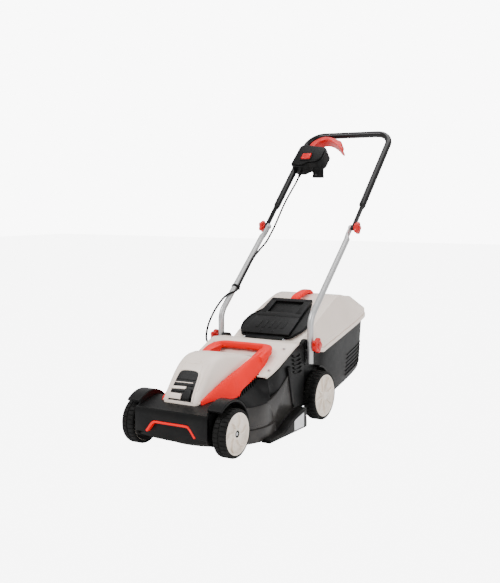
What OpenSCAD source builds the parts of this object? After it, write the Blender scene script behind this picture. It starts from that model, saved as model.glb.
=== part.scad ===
// Corded rotary lawn mower with a folding handle and a lift-off grass box.
// x: across, +x is the right side; y: towards the rear; z: up. Millimetres.

/* [Wheels] */
// Radius of a front wheel at its tread
front_wheel_r = 70; // [58:1:84]
// Radius of a rear wheel at its tread
rear_wheel_r = 80; // [66:1:96]
// Width of every tyre
tyre_w = 42; // [35:1:50]
// Distance between the axles
wheelbase = 524; // [500:1:630]
// Distance between the middles of the front wheels
front_track = 315; // [300:1:378]
// Distance between the middles of the rear wheels
rear_track = 340; // [336:1:408]
// Radius of both axle rods
axle_r = 5; // [4:0.5:6]
// Radius of the rims as a share of the wheel
rim_share = 0.86; // [0.8:0.01:0.9]

/* [Deck] */
// Outer radius of the blade chamber's wall
bowl_r = 170; // [168:1:185]
// Height of the deck's lower edge over the ground
deck_clearance = 12; // [8:1:20]
// Wall of the moulded deck
deck_wall = 3.5; // [2.5:0.5:4]
// Half width of the front bumper between its arches
bumper_half = 124; // [115:1:126]
// How far the bumper stands in front of the front axle
bumper_reach = 74; // [70:1:90]
// Outer face of the lawn comb from the middle
comb_x = 197; // [190:1:205]

/* [Blade and motor] */
// Length of the blade
blade_l = 320; // [260:1:324]
// Width of the blade
blade_w = 46; // [38:1:56]
// Height of the blade over the ground
blade_z = 40; // [34:1:48]
// Radius of the motor shaft
shaft_r = 6; // [5:0.5:7]
// Radius of the motor's can
can_r = 50; // [42:1:56]

/* [Motor cover] */
// Half width of the cover at its front foot
cover_front_half = 61; // [55:1:64]
// Half width of the cover at its rear edge
cover_rear_half = 84; // [78:1:86]
// Height of the cover's crest over the ground
cover_crest_z = 269; // [262:1:285]

/* [Handle] */
// Distance of each lower tube's middle from the middle of the mower
leg_x = 169; // [168:1:176]
// Radius of a lower tube
lower_tube_r = 10; // [8:0.5:11]
// Wall of the handle's tubes
tube_wall = 1.4; // [1:0.1:2]
// Height of the lower pivot
pivot_z = 255; // [250:1:262]
// Lean of the lower tubes from upright
lower_lean = 48; // [40:1:54]
// Straight length of a lower tube behind its bend
lower_run = 395; // [330:1:474]
// Lean of the upper bar from upright
upper_lean = 45.5; // [38:0.5:54]
// Distance of the upper bar's cross piece from the joint
upper_run = 492; // [440:1:590]
// Radius of the upper bar
upper_tube_r = 12; // [10:0.5:13]
// Radius of the upper bar's two corners
bar_bend_r = 62; // [50:1:80]
// Radius of a lower star knob
lower_knob_r = 25; // [21:1:28]
// Radius of an upper star knob
upper_knob_r = 22; // [18:1:26]
// Diameter of the cable
cable_d = 7; // [6:0.5:8]

/* [Grass box] */
// Half width of the grass box's rim
box_half = 165; // [158:1:172]
// Length of the lid from its front edge to its rear edge
box_l = 471; // [440:1:565]
// Height of the lid's highest line
box_top_z = 381; // [372:1:400]
// Wall of the grass box
box_wall = 2.5; // [2:0.5:3]
// Half width of the discharge flap's raised panel
flap_half = 78; // [70:1:86]

/* [Fits] */
// Radial clearance of a shaft in its bearing
running = 0.06; // [0.02:0.01:0.1]
// Gap between pieces of different bodies
gap = 0.6; // [0.4:0.1:1]
// Gap between pieces that lie on each other in one body
seat = 0.2; // [0:0.1:0.4]

/* [Hidden] */
$fn = 48;
eps = 0.01;
rear_y = wheelbase;
bowl_y = 182;
pivot_y = rear_y - 66;
bend_r = 60;
handle_rear_y = pivot_y + bend_r * (1 - cos(lower_lean)) + lower_run * sin(lower_lean)
    + upper_run * sin(upper_lean) + upper_tube_r;
mid_y = (handle_rear_y - bumper_reach) / 2;

// ---- helpers ----

// Moves the mower so that its origin is on the ground in the middle of its length
module place() {
    translate([0, -mid_y, 0]) children();
}

// Draws the children on the right and mirrored on the left
module both_sides() {
    children();
    mirror([1, 0, 0]) children();
}

// Draws the children on one side: 1 is right, -1 is left
module on_side(side) {
    if (side > 0) children();
    else mirror([1, 0, 0]) children();
}

// Rod along x with its middle at the centre
module rod_x(r, l, at = [0, 0, 0]) {
    translate(at) rotate([0, 90, 0]) cylinder(r = r, h = l, center = true);
}

// Plate across x from an outline in y and z
module slab_x(outline, from_x, to_x) {
    translate([from_x, 0, 0]) rotate([90, 0, 90]) linear_extrude(to_x - from_x) polygon(outline);
}

// Closed solid through a list of rings with equal numbers of points
module loft(rings) {
    n = len(rings[0]);
    last = (len(rings) - 1) * n;
    sides = [for (i = [0 : len(rings) - 2], j = [0 : n - 1])
        let (a = i * n + j, b = i * n + (j + 1) % n)
        each [[a, b + n, b], [a, a + n, b + n]]];
    front = [[for (j = [0 : n - 1]) j]];
    back = [[for (j = [n - 1 : -1 : 0]) last + j]];
    polyhedron([for (r = rings) each r], concat(front, sides, back), convexity = 8);
}

function unit(v) = v / norm(v);
function lerp(a, b, t) = a + (b - a) * t;

// Smooth points on a curve through hand-set points
function spline(p, steps) = [for (i = [0 : len(p) - 2], s = [0 : steps - 1])
    let (t = s / steps, a = p[max(i - 1, 0)], b = p[i], c = p[i + 1], d = p[min(i + 2, len(p) - 1)])
    0.5 * (2 * b + (c - a) * t + (2 * a - 5 * b + 4 * c - d) * t * t + (3 * b - a - 3 * c + d)
        * t * t * t)];

// Ring of a swept tube: a circle square to the travel, with x kept as its first direction
function tube_ring(at, dir, r, sides) = let (
    w = unit(dir), u = unit(cross([1, 0.13, 0.07], w)), v = cross(w, u))
    [for (k = [0 : sides - 1]) at + r * (cos(360 * k / sides) * u + sin(360 * k / sides) * v)];

// Tube swept along hand-set points
module cord(p, r, steps, sides = 10) {
    pts = concat(spline(p, steps), [p[len(p) - 1]]);
    last = len(pts) - 1;
    loft([for (i = [0 : last]) tube_ring(pts[i], pts[min(i + 1, last)] - pts[max(i - 1, 0)], r, sides)]);
}

// ---- deck ----

chamber_r = bowl_r - deck_wall - 1;
deck_top_z = 148;
groove_z = 56;
rear_half = 145;
body_half = 157;
body_rear_y = pivot_y - 22;
chute_half = 104;
step_y = rear_y + 12;

// Roof line of the deck as points of y and z, from the front of the motor to the handle brackets
roof = [[30, 138], [95, 150], [215, 182], [body_rear_y - 50, 262], [body_rear_y, 260]];

module bowl_outer() {
    translate([0, bowl_y, 0]) rotate_extrude($fn = 96) polygon([
        [0, deck_clearance], [bowl_r + 5, deck_clearance], [bowl_r + 3, groove_z - 4], [bowl_r - 3,
            groove_z - 2],
        [bowl_r - 3, groove_z + 2], [bowl_r, groove_z + 4], [bowl_r - 6, 112], [bowl_r - 14, 124],
        [bowl_r - 60, deck_top_z], [0, deck_top_z]]);
}

module bowl_inner() {
    translate([0, bowl_y, 0]) rotate_extrude($fn = 96) polygon([
        [0, -1], [chamber_r, -1], [chamber_r, groove_z - 4], [chamber_r - 4, groove_z - 2],
        [chamber_r - 4, groove_z + 2], [chamber_r - 6, 110], [chamber_r - 16, 120],
        [chamber_r - 60, deck_top_z - deck_wall], [0, deck_top_z - deck_wall]]);
}

// Raised body from the motor back to the handle brackets, a wall smaller where inset is given
module raised_body(inset) {
    intersection() {
        slab_x([[roof[0][0] + inset, 100], for (p = roof) [p[0] + (p[0] < 50 ? inset : -inset / 2),
            p[1] - inset],
            [body_rear_y - inset, 60 + inset], [bowl_y, 60 + inset]], -body_half + inset,
                body_half - inset);
        linear_extrude(400) polygon([for (s = [1, -1], p = s > 0 ? body_plan : reversed(body_plan))
            [s * (p[0] - inset), p[1]]]);
    }
}

louvre_x = 127;
// Right half of the raised body's plan, from the front
body_plan = [[louvre_x - 9, 0], [louvre_x - 8, 198], [146, 222], [body_half, 270], [body_half,
    body_rear_y + 20]];

function reversed(list) = [for (i = [len(list) - 1 : -1 : 0]) list[i]];

// Step behind the raised body that carries the rear axle and the chute
module rear_step(inset) {
    slab_x([[body_rear_y - 30, 50 + inset], [step_y - inset, 50 + inset], [step_y - inset, 186 - inset],
        [rear_y - 40, 228 - inset], [body_rear_y - 30, 236 - inset]], -rear_half + inset,
            rear_half - inset);
}

// Arch round a rear wheel's front half
module rear_arch() {
    intersection() {
        translate([0, rear_y, rear_wheel_r]) difference() {
            rod_x(rear_wheel_r + 17, 2 * (rear_half + 18));
            rod_x(rear_wheel_r + 11, 2 * (rear_half + 30));
        }
        translate([rear_half - 12, body_rear_y - 80, 44]) cube([30, 100, 130]);
    }
}

// Grass comb that guides the lawn's edge to the blade
module comb() {
    slab_x([[145, deck_clearance - 4], [384, deck_clearance - 4], [380, 74], [345, 68], [290, 50],
        [240, 26], [148, 20]], bowl_r - 22, comb_x);
}

module deck_housing() {
    color([0.13, 0.13, 0.135]) place() difference() {
        union() {
            bowl_outer();
            raised_body(0);
            rear_step(0);
            both_sides() {
                rear_arch();
                comb();
                // louvre ribs in front of the bracket
                for (i = [0 : 4]) translate([body_half - 1, body_rear_y - 62 - 3 * i, 176 + 14 * i])
                    rotate([-24, 0, 0]) cube([3, 42 + 3 * i, 4]);
                // upright fin at the flank
                slab_x([[300, 190], [330, 206], [352, 70], [344, 70]], body_half - 1, body_half + 7);
            }
        }
        bowl_inner();
        difference() {
            raised_body(deck_wall);
            // deck plate under the motor, and the chute's floor behind it
            translate([-200, -50, 0]) cube([400, 400, deck_top_z]);
            slab_x([[250, 60], [body_rear_y, 60], [body_rear_y, 108], [330, 96], [250, 70]], -200, 200);
        }
        // blade chamber runs into the chute
        slab_x([[bowl_y, deck_clearance + 14], [bowl_y + 150, 70], [step_y + 5, 104], [step_y + 5, 180],
            [body_rear_y - 20, 214], [bowl_y + 110, 140], [bowl_y, 120]], -chute_half, chute_half);
        // comb is hollow below
        both_sides() slab_x([[160, 0], [372, 0], [368, 60], [345, 56], [292, 38], [244, 16], [160,
            12]], bowl_r - 8, comb_x - 3);
        // passages for the shaft, the motor bolts and the axles
        translate([0, bowl_y, 0]) cylinder(r = shaft_r + 8, h = 400);
        for (a = [45 : 90 : 315]) translate([0, bowl_y, deck_top_z - 10]) rotate(a)
            translate([can_r + 8, 0, 0]) cylinder(r = 2.6 + running, h = 20, $fn = 24);
        rod_x(axle_r + running, 400, [0, rear_y, rear_wheel_r]);
        // well for the motor
        translate([0, bowl_y, deck_top_z]) cylinder(r = can_r + 18, h = 200, $fn = 64);
        // screw holes in the roof
        both_sides() for (p = screw_places) translate([p[0], p[1], deck_top_z]) cylinder(r = 2.2,
            h = 200, $fn = 24);
        // gland's hole in the left flank
        rod_x(cable_d / 2 + 3, 40, [-body_half, gland_y, gland_z]);
    }
}

gland_y = pivot_y - 72;
gland_z = 240;
gland_l = 12;
// It stays inside the path of the folding tube
gland_proud = 1.3;

// ---- bumper ----

arch_r = front_wheel_r + 16;
bumper_profile = [[-bumper_reach + 6, 60], [-bumper_reach, 68], [-bumper_reach, 118],
    [-bumper_reach + 7, 130],
    [-20, 140], [20, 148], [20, 100], [8, 56]];

module front_bumper() {
    color([0.12, 0.12, 0.125]) place() difference() {
        union() {
            slab_x(bumper_profile, -bumper_half, bumper_half);
            both_sides() intersection() {
                translate([0, 0, front_wheel_r]) difference() {
                    rod_x(arch_r + 8, 2 * (front_track / 2 + 5));
                    rod_x(arch_r, 2 * (front_track / 2 + 20));
                }
                translate([bumper_half - 6, -bumper_reach, front_wheel_r + 38]) cube([80, 156, 80]);
            }
        }
        // hollow behind the front wall
        slab_x([[-bumper_reach + 9, 50], [-bumper_reach + 6, 116], [-20, 134], [14, 142], [14, 50]],
            -bumper_half + 4, bumper_half - 4);
        // room for the deck's round front
        translate([0, bowl_y, 0]) cylinder(r = bowl_r + 6, h = deck_top_z + 2, $fn = 96);
        // cut-out under the trim
        rotate([90, 0, 0]) linear_extrude(bumper_reach + 20) polygon([[-103.2, 40], [-60.2, 94.2],
            [60.2, 94.2], [103.2, 40]]);
        rod_x(axle_r + running, 400, [0, 0, front_wheel_r]);
        // raised body passes through the bumper's back
        slab_x([[roof[0][0] - 2, 60], [roof[0][0] - 2, 160], [60, 160], [60, 60]], -louvre_x + 8,
            louvre_x - 8);
    }
    color([0.12, 0.12, 0.125]) place() both_sides() difference() {
        // hanger of the front axle
        slab_x([[-12, 56], [12, 56], [12, 132], [-12, 132]], bumper_half - 10, bumper_half - 3);
        rod_x(axle_r + running, 400, [0, 0, front_wheel_r]);
    }
}

module bumper_trim() {
    color([0.86, 0.11, 0.12]) place() translate([0, -bumper_reach + 16, 0]) rotate([90, 0, 0])
        linear_extrude(16) polygon([[-87, 60], [-60, 94], [60, 94], [87, 60], [79, 60], [56, 87.5],
            [-56, 87.5], [-79, 60]]);
}

// ---- motor cover ----

cover_rear_y = 236;

// Stations of the cover: y, height of the crown, half width and height of the foot
cover_stations = [
    [-26, 147, cover_front_half - 9, 142], [-18, 166, cover_front_half - 1, 143],
    [12, 206, cover_front_half + 3, 156], [40, 238, cover_front_half + 6, 167],
    [72, cover_crest_z - 8, lerp(cover_front_half, cover_rear_half, 0.36), 180],
    [108, cover_crest_z, lerp(cover_front_half, cover_rear_half, 0.52), 194],
    [160, cover_crest_z - 6, lerp(cover_front_half, cover_rear_half, 0.72), 214],
    [205, cover_crest_z - 15, lerp(cover_front_half, cover_rear_half, 0.9), 231],
    [cover_rear_y, cover_crest_z - 25, cover_rear_half, 240]];

// Half of a cover section: the wall rises steeply from the foot and then rounds over to the crown
function cover_ring(s, inset) = let (w = s[2] - inset, h = s[1] - inset - s[3], floor_z = 128)
    [for (p = [[-1, -1], [-1, 0], [-0.99, 0.32], [-0.94, 0.64], [-0.83, 0.86], [-0.55, 0.97], [0, 1],
        [0.55, 0.97], [0.83, 0.86], [0.94, 0.64], [0.99, 0.32], [1, 0], [1, -1]])
        [w * p[0], s[0] + (s[0] < 0 ? inset : 0), p[1] < 0 ? floor_z : s[3] + h * p[1]]];

module cover_solid(inset) {
    loft([for (s = cover_stations) cover_ring(s, inset)]);
}

module motor_cover() {
    color([0.85, 0.82, 0.78]) place() difference() {
        cover_solid(0);
        difference() {
            translate([0, -2, 0]) cover_solid(3);
            translate([-100, cover_rear_y - 3, 0]) cube([200, 50, 400]);
        }
        // window for the air vent
        vent_frame() translate([0, 0, -12]) linear_extrude(40) vent_outline(vent_half, vent_h);
        translate([-150, -60, 100]) cube([300, 400, deck_top_z + seat - 100]);
        // rises over the deck's roof and the rear plate
        raised_body(-seat);
        plate_solid(seat);
    }
}

vent_half = 36;
vent_h = 98;
vent_tilt = 57;

// Puts a drawing with its foot at the origin onto the cover's sloping front
module vent_frame() {
    translate([0, -26, 148]) rotate([vent_tilt, 0, 0]) children();
}

module vent_outline(half, h) {
    hull() {
        translate([-half, 0]) square([2 * half, 10]);
        for (x = [-half + 16, half - 16]) translate([x, h - 16]) circle(r = 16, $fn = 32);
    }
}

module vent_grille() {
    color([0.06, 0.06, 0.065]) place() intersection() {
        vent_frame() difference() {
            translate([0, 0, -14]) linear_extrude(16) vent_outline(vent_half - seat, vent_h - seat);
            // slots between the bars
            for (i = [0 : 2]) translate([-vent_half + 8, 12 + 17 * i, -8]) cube([2 * vent_half - 16, 8,
                30]);
        }
        translate([-100, -60, deck_top_z + seat]) cube([200, 300, 200]);
    }
}

// ---- red frame with the carry handle ----

// Stations of the right band: y, then x and z of the inner edge, crest, outer edge and foot
band_stations = [
    [-14, cover_front_half + 1, 148.5, cover_front_half + 12, 153, 124, 152, 122, 149],
    [80, cover_front_half + 10, 190, cover_front_half + 20, 195, 140, 178, 140, 151],
    [150, cover_front_half + 17, 215, cover_front_half + 29, 221, 137, 197, 136, 180],
    [226, cover_rear_half + 1, 242, cover_rear_half + 15, 246, 131, 216, 129, 198],
    [300, cover_rear_half - 16, 256, cover_rear_half + 13, 263, 121, 246, 118, 233],
    [330, cover_rear_half - 26, 262, cover_rear_half + 5, 270, 108, 258, 104, 244]];

function band_ring(s) = [[s[1], s[0], s[2]], [s[3], s[0], s[4]], [s[5], s[0], s[6]], [s[7], s[0], s[8]],
    [s[1] + 6, s[0], min(s[2], s[8]) - 1]];

bar_y = 338;
bar_z = 257;

module carry_frame() {
    color([0.88, 0.14, 0.14]) place() difference() {
        union() {
            both_sides() {
                loft([for (s = band_stations) band_ring(s)]);
                // rounded corner from the band into the cross bar
                hull() {
                    translate([cover_rear_half - 24, bar_y, bar_z]) sphere(r = 13, $fn = 32);
                    translate([cover_rear_half + 8, bar_y - 14, bar_z]) sphere(r = 13, $fn = 32);
                    translate([cover_rear_half + 12, bar_y - 40, bar_z - 10]) sphere(r = 11, $fn = 32);
                }
            }
            translate([0, bar_y, bar_z]) rotate([0, 90, 0]) cylinder(r = 13,
                h = 2 * (cover_rear_half - 24), center = true);
        }
        // stands on the deck's roof and on the rear plate
        raised_body(-seat);
        plate_solid(seat);
        translate([-200, -60, 90]) cube([400, 120, deck_top_z - 90 + seat]);
        cover_solid(-seat);
        both_sides() rod_x(arch_r + 8 + seat, 100, [bumper_half + 44 - seat, 0, front_wheel_r]);
    }
}

// ---- rear plate ----

plate_t = 4;
plate_rear_y = body_rear_y + 6;
plate_half = 157.5;
notch_half = flap_half - 4;

// Plate that follows the roof line, thicker by extra on both sides
module plate_solid(extra) {
    intersection() {
        slab_x([[206, 184 - extra], [body_rear_y - 50, 262.2 - extra], [plate_rear_y, 260.2 - extra],
            [plate_rear_y, 260.2 + plate_t + extra], [body_rear_y - 52, 262.2 + plate_t + extra],
            [206, 184 + plate_t + extra]], -170, 170);
        translate([0, 0, 100]) linear_extrude(300) difference() {
            polygon([[-147, 212], [-plate_half + 1, 262], [-plate_half, body_rear_y - 44], [-136,
                plate_rear_y], [-notch_half - 10, plate_rear_y],
                [-notch_half, plate_rear_y - 9], [notch_half, plate_rear_y - 9], [notch_half + 10,
                    plate_rear_y],
                [136, plate_rear_y], [plate_half, body_rear_y - 44], [plate_half - 1, 262], [147, 212]]);
            // open under the carry handle, so that fingers reach round the bar
            translate([-cover_rear_half + 22, cover_rear_y - 30]) square([2 * cover_rear_half - 44, 102]);
        }
    }
}

screw_places = [[140, 242], [130, body_rear_y - 82]];

// Height of the rear plate's upper face
function plate_z(y) = lerp(184, 262.2, (y - 206) / (body_rear_y - 50 - 206)) + plate_t;

module rear_cover_plate() {
    color([0.8, 0.77, 0.73]) place() difference() {
        plate_solid(0);
        both_sides() for (p = screw_places) translate([p[0], p[1], 0]) cylinder(r = 2.2, h = 400,
            $fn = 24);
    }
}

module cover_screws() {
    color([0.45, 0.45, 0.46]) place() both_sides() for (p = screw_places)
        translate([p[0], p[1], plate_z(p[1]) + 1.2]) {
            difference() {
                cylinder(r = 4.5, h = 2.4, $fn = 24);
                translate([-3, -0.6, 1.2]) cube([6, 1.2, 2]);
                translate([-0.6, -3, 1.2]) cube([1.2, 6, 2]);
            }
            translate([0, 0, -9]) cylinder(r = 2, h = 9 + eps, $fn = 24);
        }
}

// Ribbed black panel under the red band
module side_louvres() {
    color([0.07, 0.07, 0.075]) place() both_sides() difference() {
        union() {
            slab_x([[92, 138], [88, 168], [205, 196], [226, 206], [215, 172], [150, 150]],
                louvre_x - 8, louvre_x);
            for (i = [0 : 10]) translate([louvre_x - 1, 96 + 12 * i, 143 + 4.2 * i])
                rotate([28, 0, 0]) cube([5, 3.5, 26]);
        }
        raised_body(-seat);
        loft([for (s = band_stations) band_ring(s)]);
        plate_solid(seat);
        cover_solid(-seat);
        bowl_outer();
    }
}

module rating_label() {
    color([0.85, 0.86, 0.87]) place() translate([comb_x + 0.05, 300, 14])
        slab_x([[0, 0], [62, 0], [62, 44], [0, 32]], 0, 0.5);
}

// ---- axles and wheels ----

hub_floor = tyre_w / 2 - 8;
nut_t = 5;
front_axle_l = front_track + 2 * (hub_floor + gap + nut_t);
rear_axle_l = rear_track + 2 * (hub_floor + gap + nut_t);

module front_axle() {
    color([0.7, 0.7, 0.72]) place() rod_x(axle_r, front_axle_l, [0, 0, front_wheel_r]);
}

module rear_axle() {
    color([0.7, 0.7, 0.72]) place() rod_x(axle_r, rear_axle_l, [0, rear_y, rear_wheel_r]);
}

module nut(side_x, y, z) {
    translate([side_x, y, z]) rotate([0, 90, 0]) difference() {
        cylinder(r = 8, h = nut_t, center = true, $fn = 6);
        cylinder(r = axle_r, h = nut_t + 1, center = true);
    }
}

module axle_nuts() {
    color([0.62, 0.62, 0.64]) place() both_sides() {
        nut((front_axle_l - nut_t) / 2, 0, front_wheel_r);
        nut((rear_axle_l - nut_t) / 2, rear_y, rear_wheel_r);
    }
}

// Tyre round an axle along x, with its middle at the centre
module tyre(r) {
    rim_r = r * rim_share;
    rotate([0, 90, 0]) difference() {
        rotate_extrude($fn = 96) polygon([[rim_r, -tyre_w / 2], [r - 6, -tyre_w / 2], [r - 2,
            -tyre_w / 2 + 2.5],
            [r, -tyre_w / 2 + 7], [r, -1.5], [r - 2, 0], [r, 1.5], [r, tyre_w / 2 - 7], [r - 2,
                tyre_w / 2 - 2.5],
            [r - 6, tyre_w / 2], [rim_r, tyre_w / 2]]);
        // cross grooves of the tread
        for (a = [0 : 15 : 345], s = [-1, 1]) rotate(a + 4 * s) translate([r - 2, -2, s > 0 ? 3 : -tyre_w])
            cube([4, 4, tyre_w - 3]);
    }
}

// Rim with ribs on its outer side, which is +x
module rim(r, spokes) {
    rim_r = r * rim_share - seat;
    face = tyre_w / 2 + 1;
    rotate([0, 90, 0]) difference() {
        union() {
            rotate_extrude($fn = 96) polygon([[axle_r + running, -tyre_w / 2 + 1], [14,
                -tyre_w / 2 + 1], [14, face - 9],
                [rim_r - 5, face - 6], [rim_r - 5, -tyre_w / 2 + 1], [rim_r, -tyre_w / 2 + 1],
                [rim_r, face - 2], [rim_r - 2, face], [rim_r - 5, face], [rim_r - 8, face - 4],
                [20, face - 5], [16, face - 2], [axle_r + running, face - 2]]);
            for (i = [0 : spokes - 1]) rotate(360 * i / spokes) translate([13, -2.5, face - 12])
                cube([rim_r - 17, 5, 10]);
        }
        // pocket for the nut
        translate([0, 0, hub_floor]) cylinder(r = 10, h = 20);
    }
}

module wheel_at(side, front) {
    track = front ? front_track : rear_track;
    place() on_side(side) translate([track / 2, front ? 0 : rear_y,
        front ? front_wheel_r : rear_wheel_r]) children();
}

module front_tyre(side) { color([0.08, 0.08, 0.08]) wheel_at(side, true) tyre(front_wheel_r); }
module rear_tyre(side) { color([0.08, 0.08, 0.08]) wheel_at(side, false) tyre(rear_wheel_r); }
module front_rim(side) { color([0.88, 0.86, 0.82]) wheel_at(side, true) rim(front_wheel_r, 6); }
module rear_rim(side) { color([0.88, 0.86, 0.82]) wheel_at(side, false) rim(rear_wheel_r, 8); }

module hub_cap(side) {
    color([0.88, 0.86, 0.82]) wheel_at(side, false) translate([tyre_w / 2 - 1, 0, 0]) rotate([0, 90, 0])
        rotate_extrude($fn = 48) polygon([[0, 0.6], [10.5, 0.6], [10.5, 0], [14, 0], [13, 2.4], [8,
            3.6], [0, 4]]);
}

module tyre_front_left() { front_tyre(-1); }
module tyre_front_right() { front_tyre(1); }
module tyre_rear_left() { rear_tyre(-1); }
module tyre_rear_right() { rear_tyre(1); }
module rim_front_left() { front_rim(-1); }
module rim_front_right() { front_rim(1); }
module rim_rear_left() { rear_rim(-1); }
module rim_rear_right() { rear_rim(1); }
module hub_cap_rear_left() { hub_cap(-1); }
module hub_cap_rear_right() { hub_cap(1); }

// ---- motor and blade ----

can_z = deck_top_z + seat;
can_h = 92;
bearing_r = 15;
bearing_w = 11;
bearing_zs = [can_z + 1, can_z + can_h - bearing_w - 1];

module motor_stator() {
    color([0.55, 0.56, 0.58]) place() translate([0, bowl_y, 0]) difference() {
        union() {
            translate([0, 0, can_z]) cylinder(r = can_r, h = can_h, $fn = 64);
            for (a = [45 : 90 : 315]) rotate(a) translate([can_r + 8, 0, can_z]) cylinder(r = 8, h = 6,
                $fn = 32);
            for (a = [45 : 90 : 315]) rotate(a) translate([can_r - 4, -4, can_z]) cube([12, 8, 6]);
        }
        translate([0, 0, can_z + 14]) cylinder(r = 30, h = can_h - 28, $fn = 64);
        translate([0, 0, can_z - 1]) cylinder(r = shaft_r + 3, h = can_h + 2);
        for (z = bearing_zs) translate([0, 0, z - (z < can_z + 10 ? 2 : 0)]) cylinder(r = bearing_r,
            h = bearing_w + 2);
        for (a = [45 : 90 : 315]) rotate(a) translate([can_r + 8, 0, 0]) cylinder(r = 2.6 + running,
            h = 400, $fn = 24);
    }
}

module motor_bearings() {
    color([0.75, 0.75, 0.77]) place() translate([0, bowl_y, 0]) for (z = bearing_zs) translate([0, 0, z])
        difference() {
            cylinder(r = bearing_r, h = bearing_w);
            translate([0, 0, -1]) cylinder(r = shaft_r + running, h = bearing_w + 2);
        }
}

module motor_bolts() {
    color([0.6, 0.6, 0.62]) place() translate([0, bowl_y, 0]) for (a = [45 : 90 : 315]) rotate(a)
        translate([can_r + 8, 0, 0]) {
            translate([0, 0, can_z + 6 + seat]) cylinder(r = 4.5, h = 3.5, $fn = 6);
            translate([0, 0, deck_top_z - deck_wall - 6]) cylinder(r = 2.6,
                h = deck_wall + 12.2 + seat, $fn = 24);
        }
}

fan_z = 118;
carrier_z = blade_z + 4;

module rotor_shaft() {
    color([0.5, 0.5, 0.52]) place() translate([0, bowl_y, 0]) difference() {
        union() {
            translate([0, 0, carrier_z + 6]) cylinder(r = shaft_r, h = can_z + can_h - carrier_z - 7);
            translate([0, 0, can_z + 18]) cylinder(r = 29, h = can_h - 36, $fn = 64);
        }
        // threaded end for the blade bolt
        translate([0, 0, carrier_z - 1]) cylinder(r = 3.4, h = 26);
    }
}

module cooling_fan() {
    color([0.1, 0.1, 0.1]) place() translate([0, bowl_y, fan_z]) difference() {
        union() {
            cylinder(r = 52, h = 2.5, $fn = 64);
            cylinder(r = 14, h = 16);
            for (a = [0 : 40 : 320]) rotate(a) translate([13, -1.2, 0]) cube([38, 2.4, 14]);
        }
        translate([0, 0, -1]) cylinder(r = shaft_r, h = 30);
    }
}

module blade_carrier() {
    color([0.16, 0.16, 0.17]) place() translate([0, bowl_y, carrier_z]) difference() {
        union() {
            cylinder(r = 26, h = 6, $fn = 64);
            cylinder(r = 13, h = 34);
        }
        translate([0, 0, 6]) cylinder(r = shaft_r, h = 40);
        translate([0, 0, -1]) cylinder(r = 3.4, h = 10);
    }
}

module blade() {
    color([0.3, 0.31, 0.33]) place() translate([0, bowl_y, blade_z]) difference() {
        union() {
            intersection() {
                translate([-blade_l / 2, -blade_w / 2, 0]) cube([blade_l, blade_w, 3.5]);
                cylinder(r = blade_l / 2, h = 10, $fn = 96);
            }
            // lifted wings behind the cutting edges
            for (a = [0, 180]) rotate(a) translate([blade_l / 2 - 76, blade_w / 2 - 9,
                0.5]) rotate([35, 0, 0])
                cube([62, 15, 3]);
        }
        // sharpened edges
        for (a = [0, 180]) rotate(a) translate([blade_l / 2 - 90, -blade_w / 2 - 6, 2]) rotate([28, 0, 0])
            cube([100, 8, 8]);
        translate([0, 0, -1]) cylinder(r = 5, h = 8);
    }
}

module blade_bolt() {
    color([0.65, 0.65, 0.67]) place() translate([0, bowl_y, 0]) {
        translate([0, 0, blade_z - 8]) cylinder(r = 8, h = 6, $fn = 6);
        translate([0, 0, blade_z - 2]) cylinder(r = 12, h = 2);
        translate([0, 0, blade_z]) cylinder(r = 3.4, h = 26);
    }
}

// ---- handle brackets and lower tubes ----

bracket_out_x = leg_x - lower_tube_r - 0.4;
bracket_in_x = bracket_out_x - 17;
bolt_r = 4;
tube_foot_z = pivot_z - 60;
bend_z = pivot_z + 57;
lower_dir = [0, sin(lower_lean), cos(lower_lean)];
bend_end = [0, pivot_y + bend_r * (1 - cos(lower_lean)), bend_z + bend_r * sin(lower_lean)];
joint_at = bend_end + lower_dir * lower_run;
upper_dir = [0, sin(upper_lean), cos(upper_lean)];
upper_normal = [0, -cos(upper_lean), sin(upper_lean)];

module handle_brackets() {
    color([0.1, 0.1, 0.105]) place() both_sides() difference() {
        union() {
            slab_x([[pivot_y - 34, 214], [pivot_y - 26, 262], [pivot_y - 6, 274], [pivot_y + 20, 268],
                [pivot_y + 34, 236], [pivot_y + 38, 196], [pivot_y + 20, 186], [pivot_y - 10, 190]],
                bracket_in_x, bracket_out_x - 3);
            translate([bracket_out_x - 2, pivot_y, pivot_z]) rod_x(16, 4);
        }
        rod_x(bolt_r, 500, [0, pivot_y, pivot_z]);
        raised_body(-seat);
        rear_step(-seat);
        plate_solid(seat);
    }
}

module pivot_bolts() {
    color([0.66, 0.66, 0.68]) place() both_sides() {
        translate([(bracket_in_x - 4 + leg_x + 29) / 2, pivot_y, pivot_z])
            rod_x(bolt_r, leg_x + 29 - bracket_in_x + 4);
        translate([bracket_in_x - 3, pivot_y, pivot_z]) rotate([0, 90, 0]) cylinder(r = 7, h = 5.6,
            center = true, $fn = 6);
    }
}

module cable_gland() {
    color([0.07, 0.07, 0.07]) place() translate([0, gland_y, gland_z]) difference() {
        union() {
            rod_x(cable_d / 2 + 2.9, gland_l, [-body_half - gland_proud + gland_l / 2, 0, 0]);
        }
        rod_x(cable_d / 2, 60, [-body_half, 0, 0]);
    }
}

// Section of a hollow tube
module tube_section(r) {
    difference() {
        circle(r = r);
        circle(r = r - tube_wall);
    }
}

// Lower tube without its flattened end: foot, bend and straight run
module lower_path() {
    translate([0, pivot_y, tube_foot_z]) linear_extrude(bend_z - tube_foot_z) tube_section(lower_tube_r);
    translate([0, pivot_y + bend_r, bend_z]) rotate([90, 0, -90])
        rotate_extrude(angle = lower_lean) translate([bend_r, 0]) tube_section(lower_tube_r);
    translate(bend_end) rotate([-lower_lean, 0, 0]) linear_extrude(lower_run - taper_l)
        tube_section(lower_tube_r);
}

flat_t = 8;
flat_in_x = leg_x - lower_tube_r + 1;
taper_l = 56;
lower_flat_l = 34;

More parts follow.
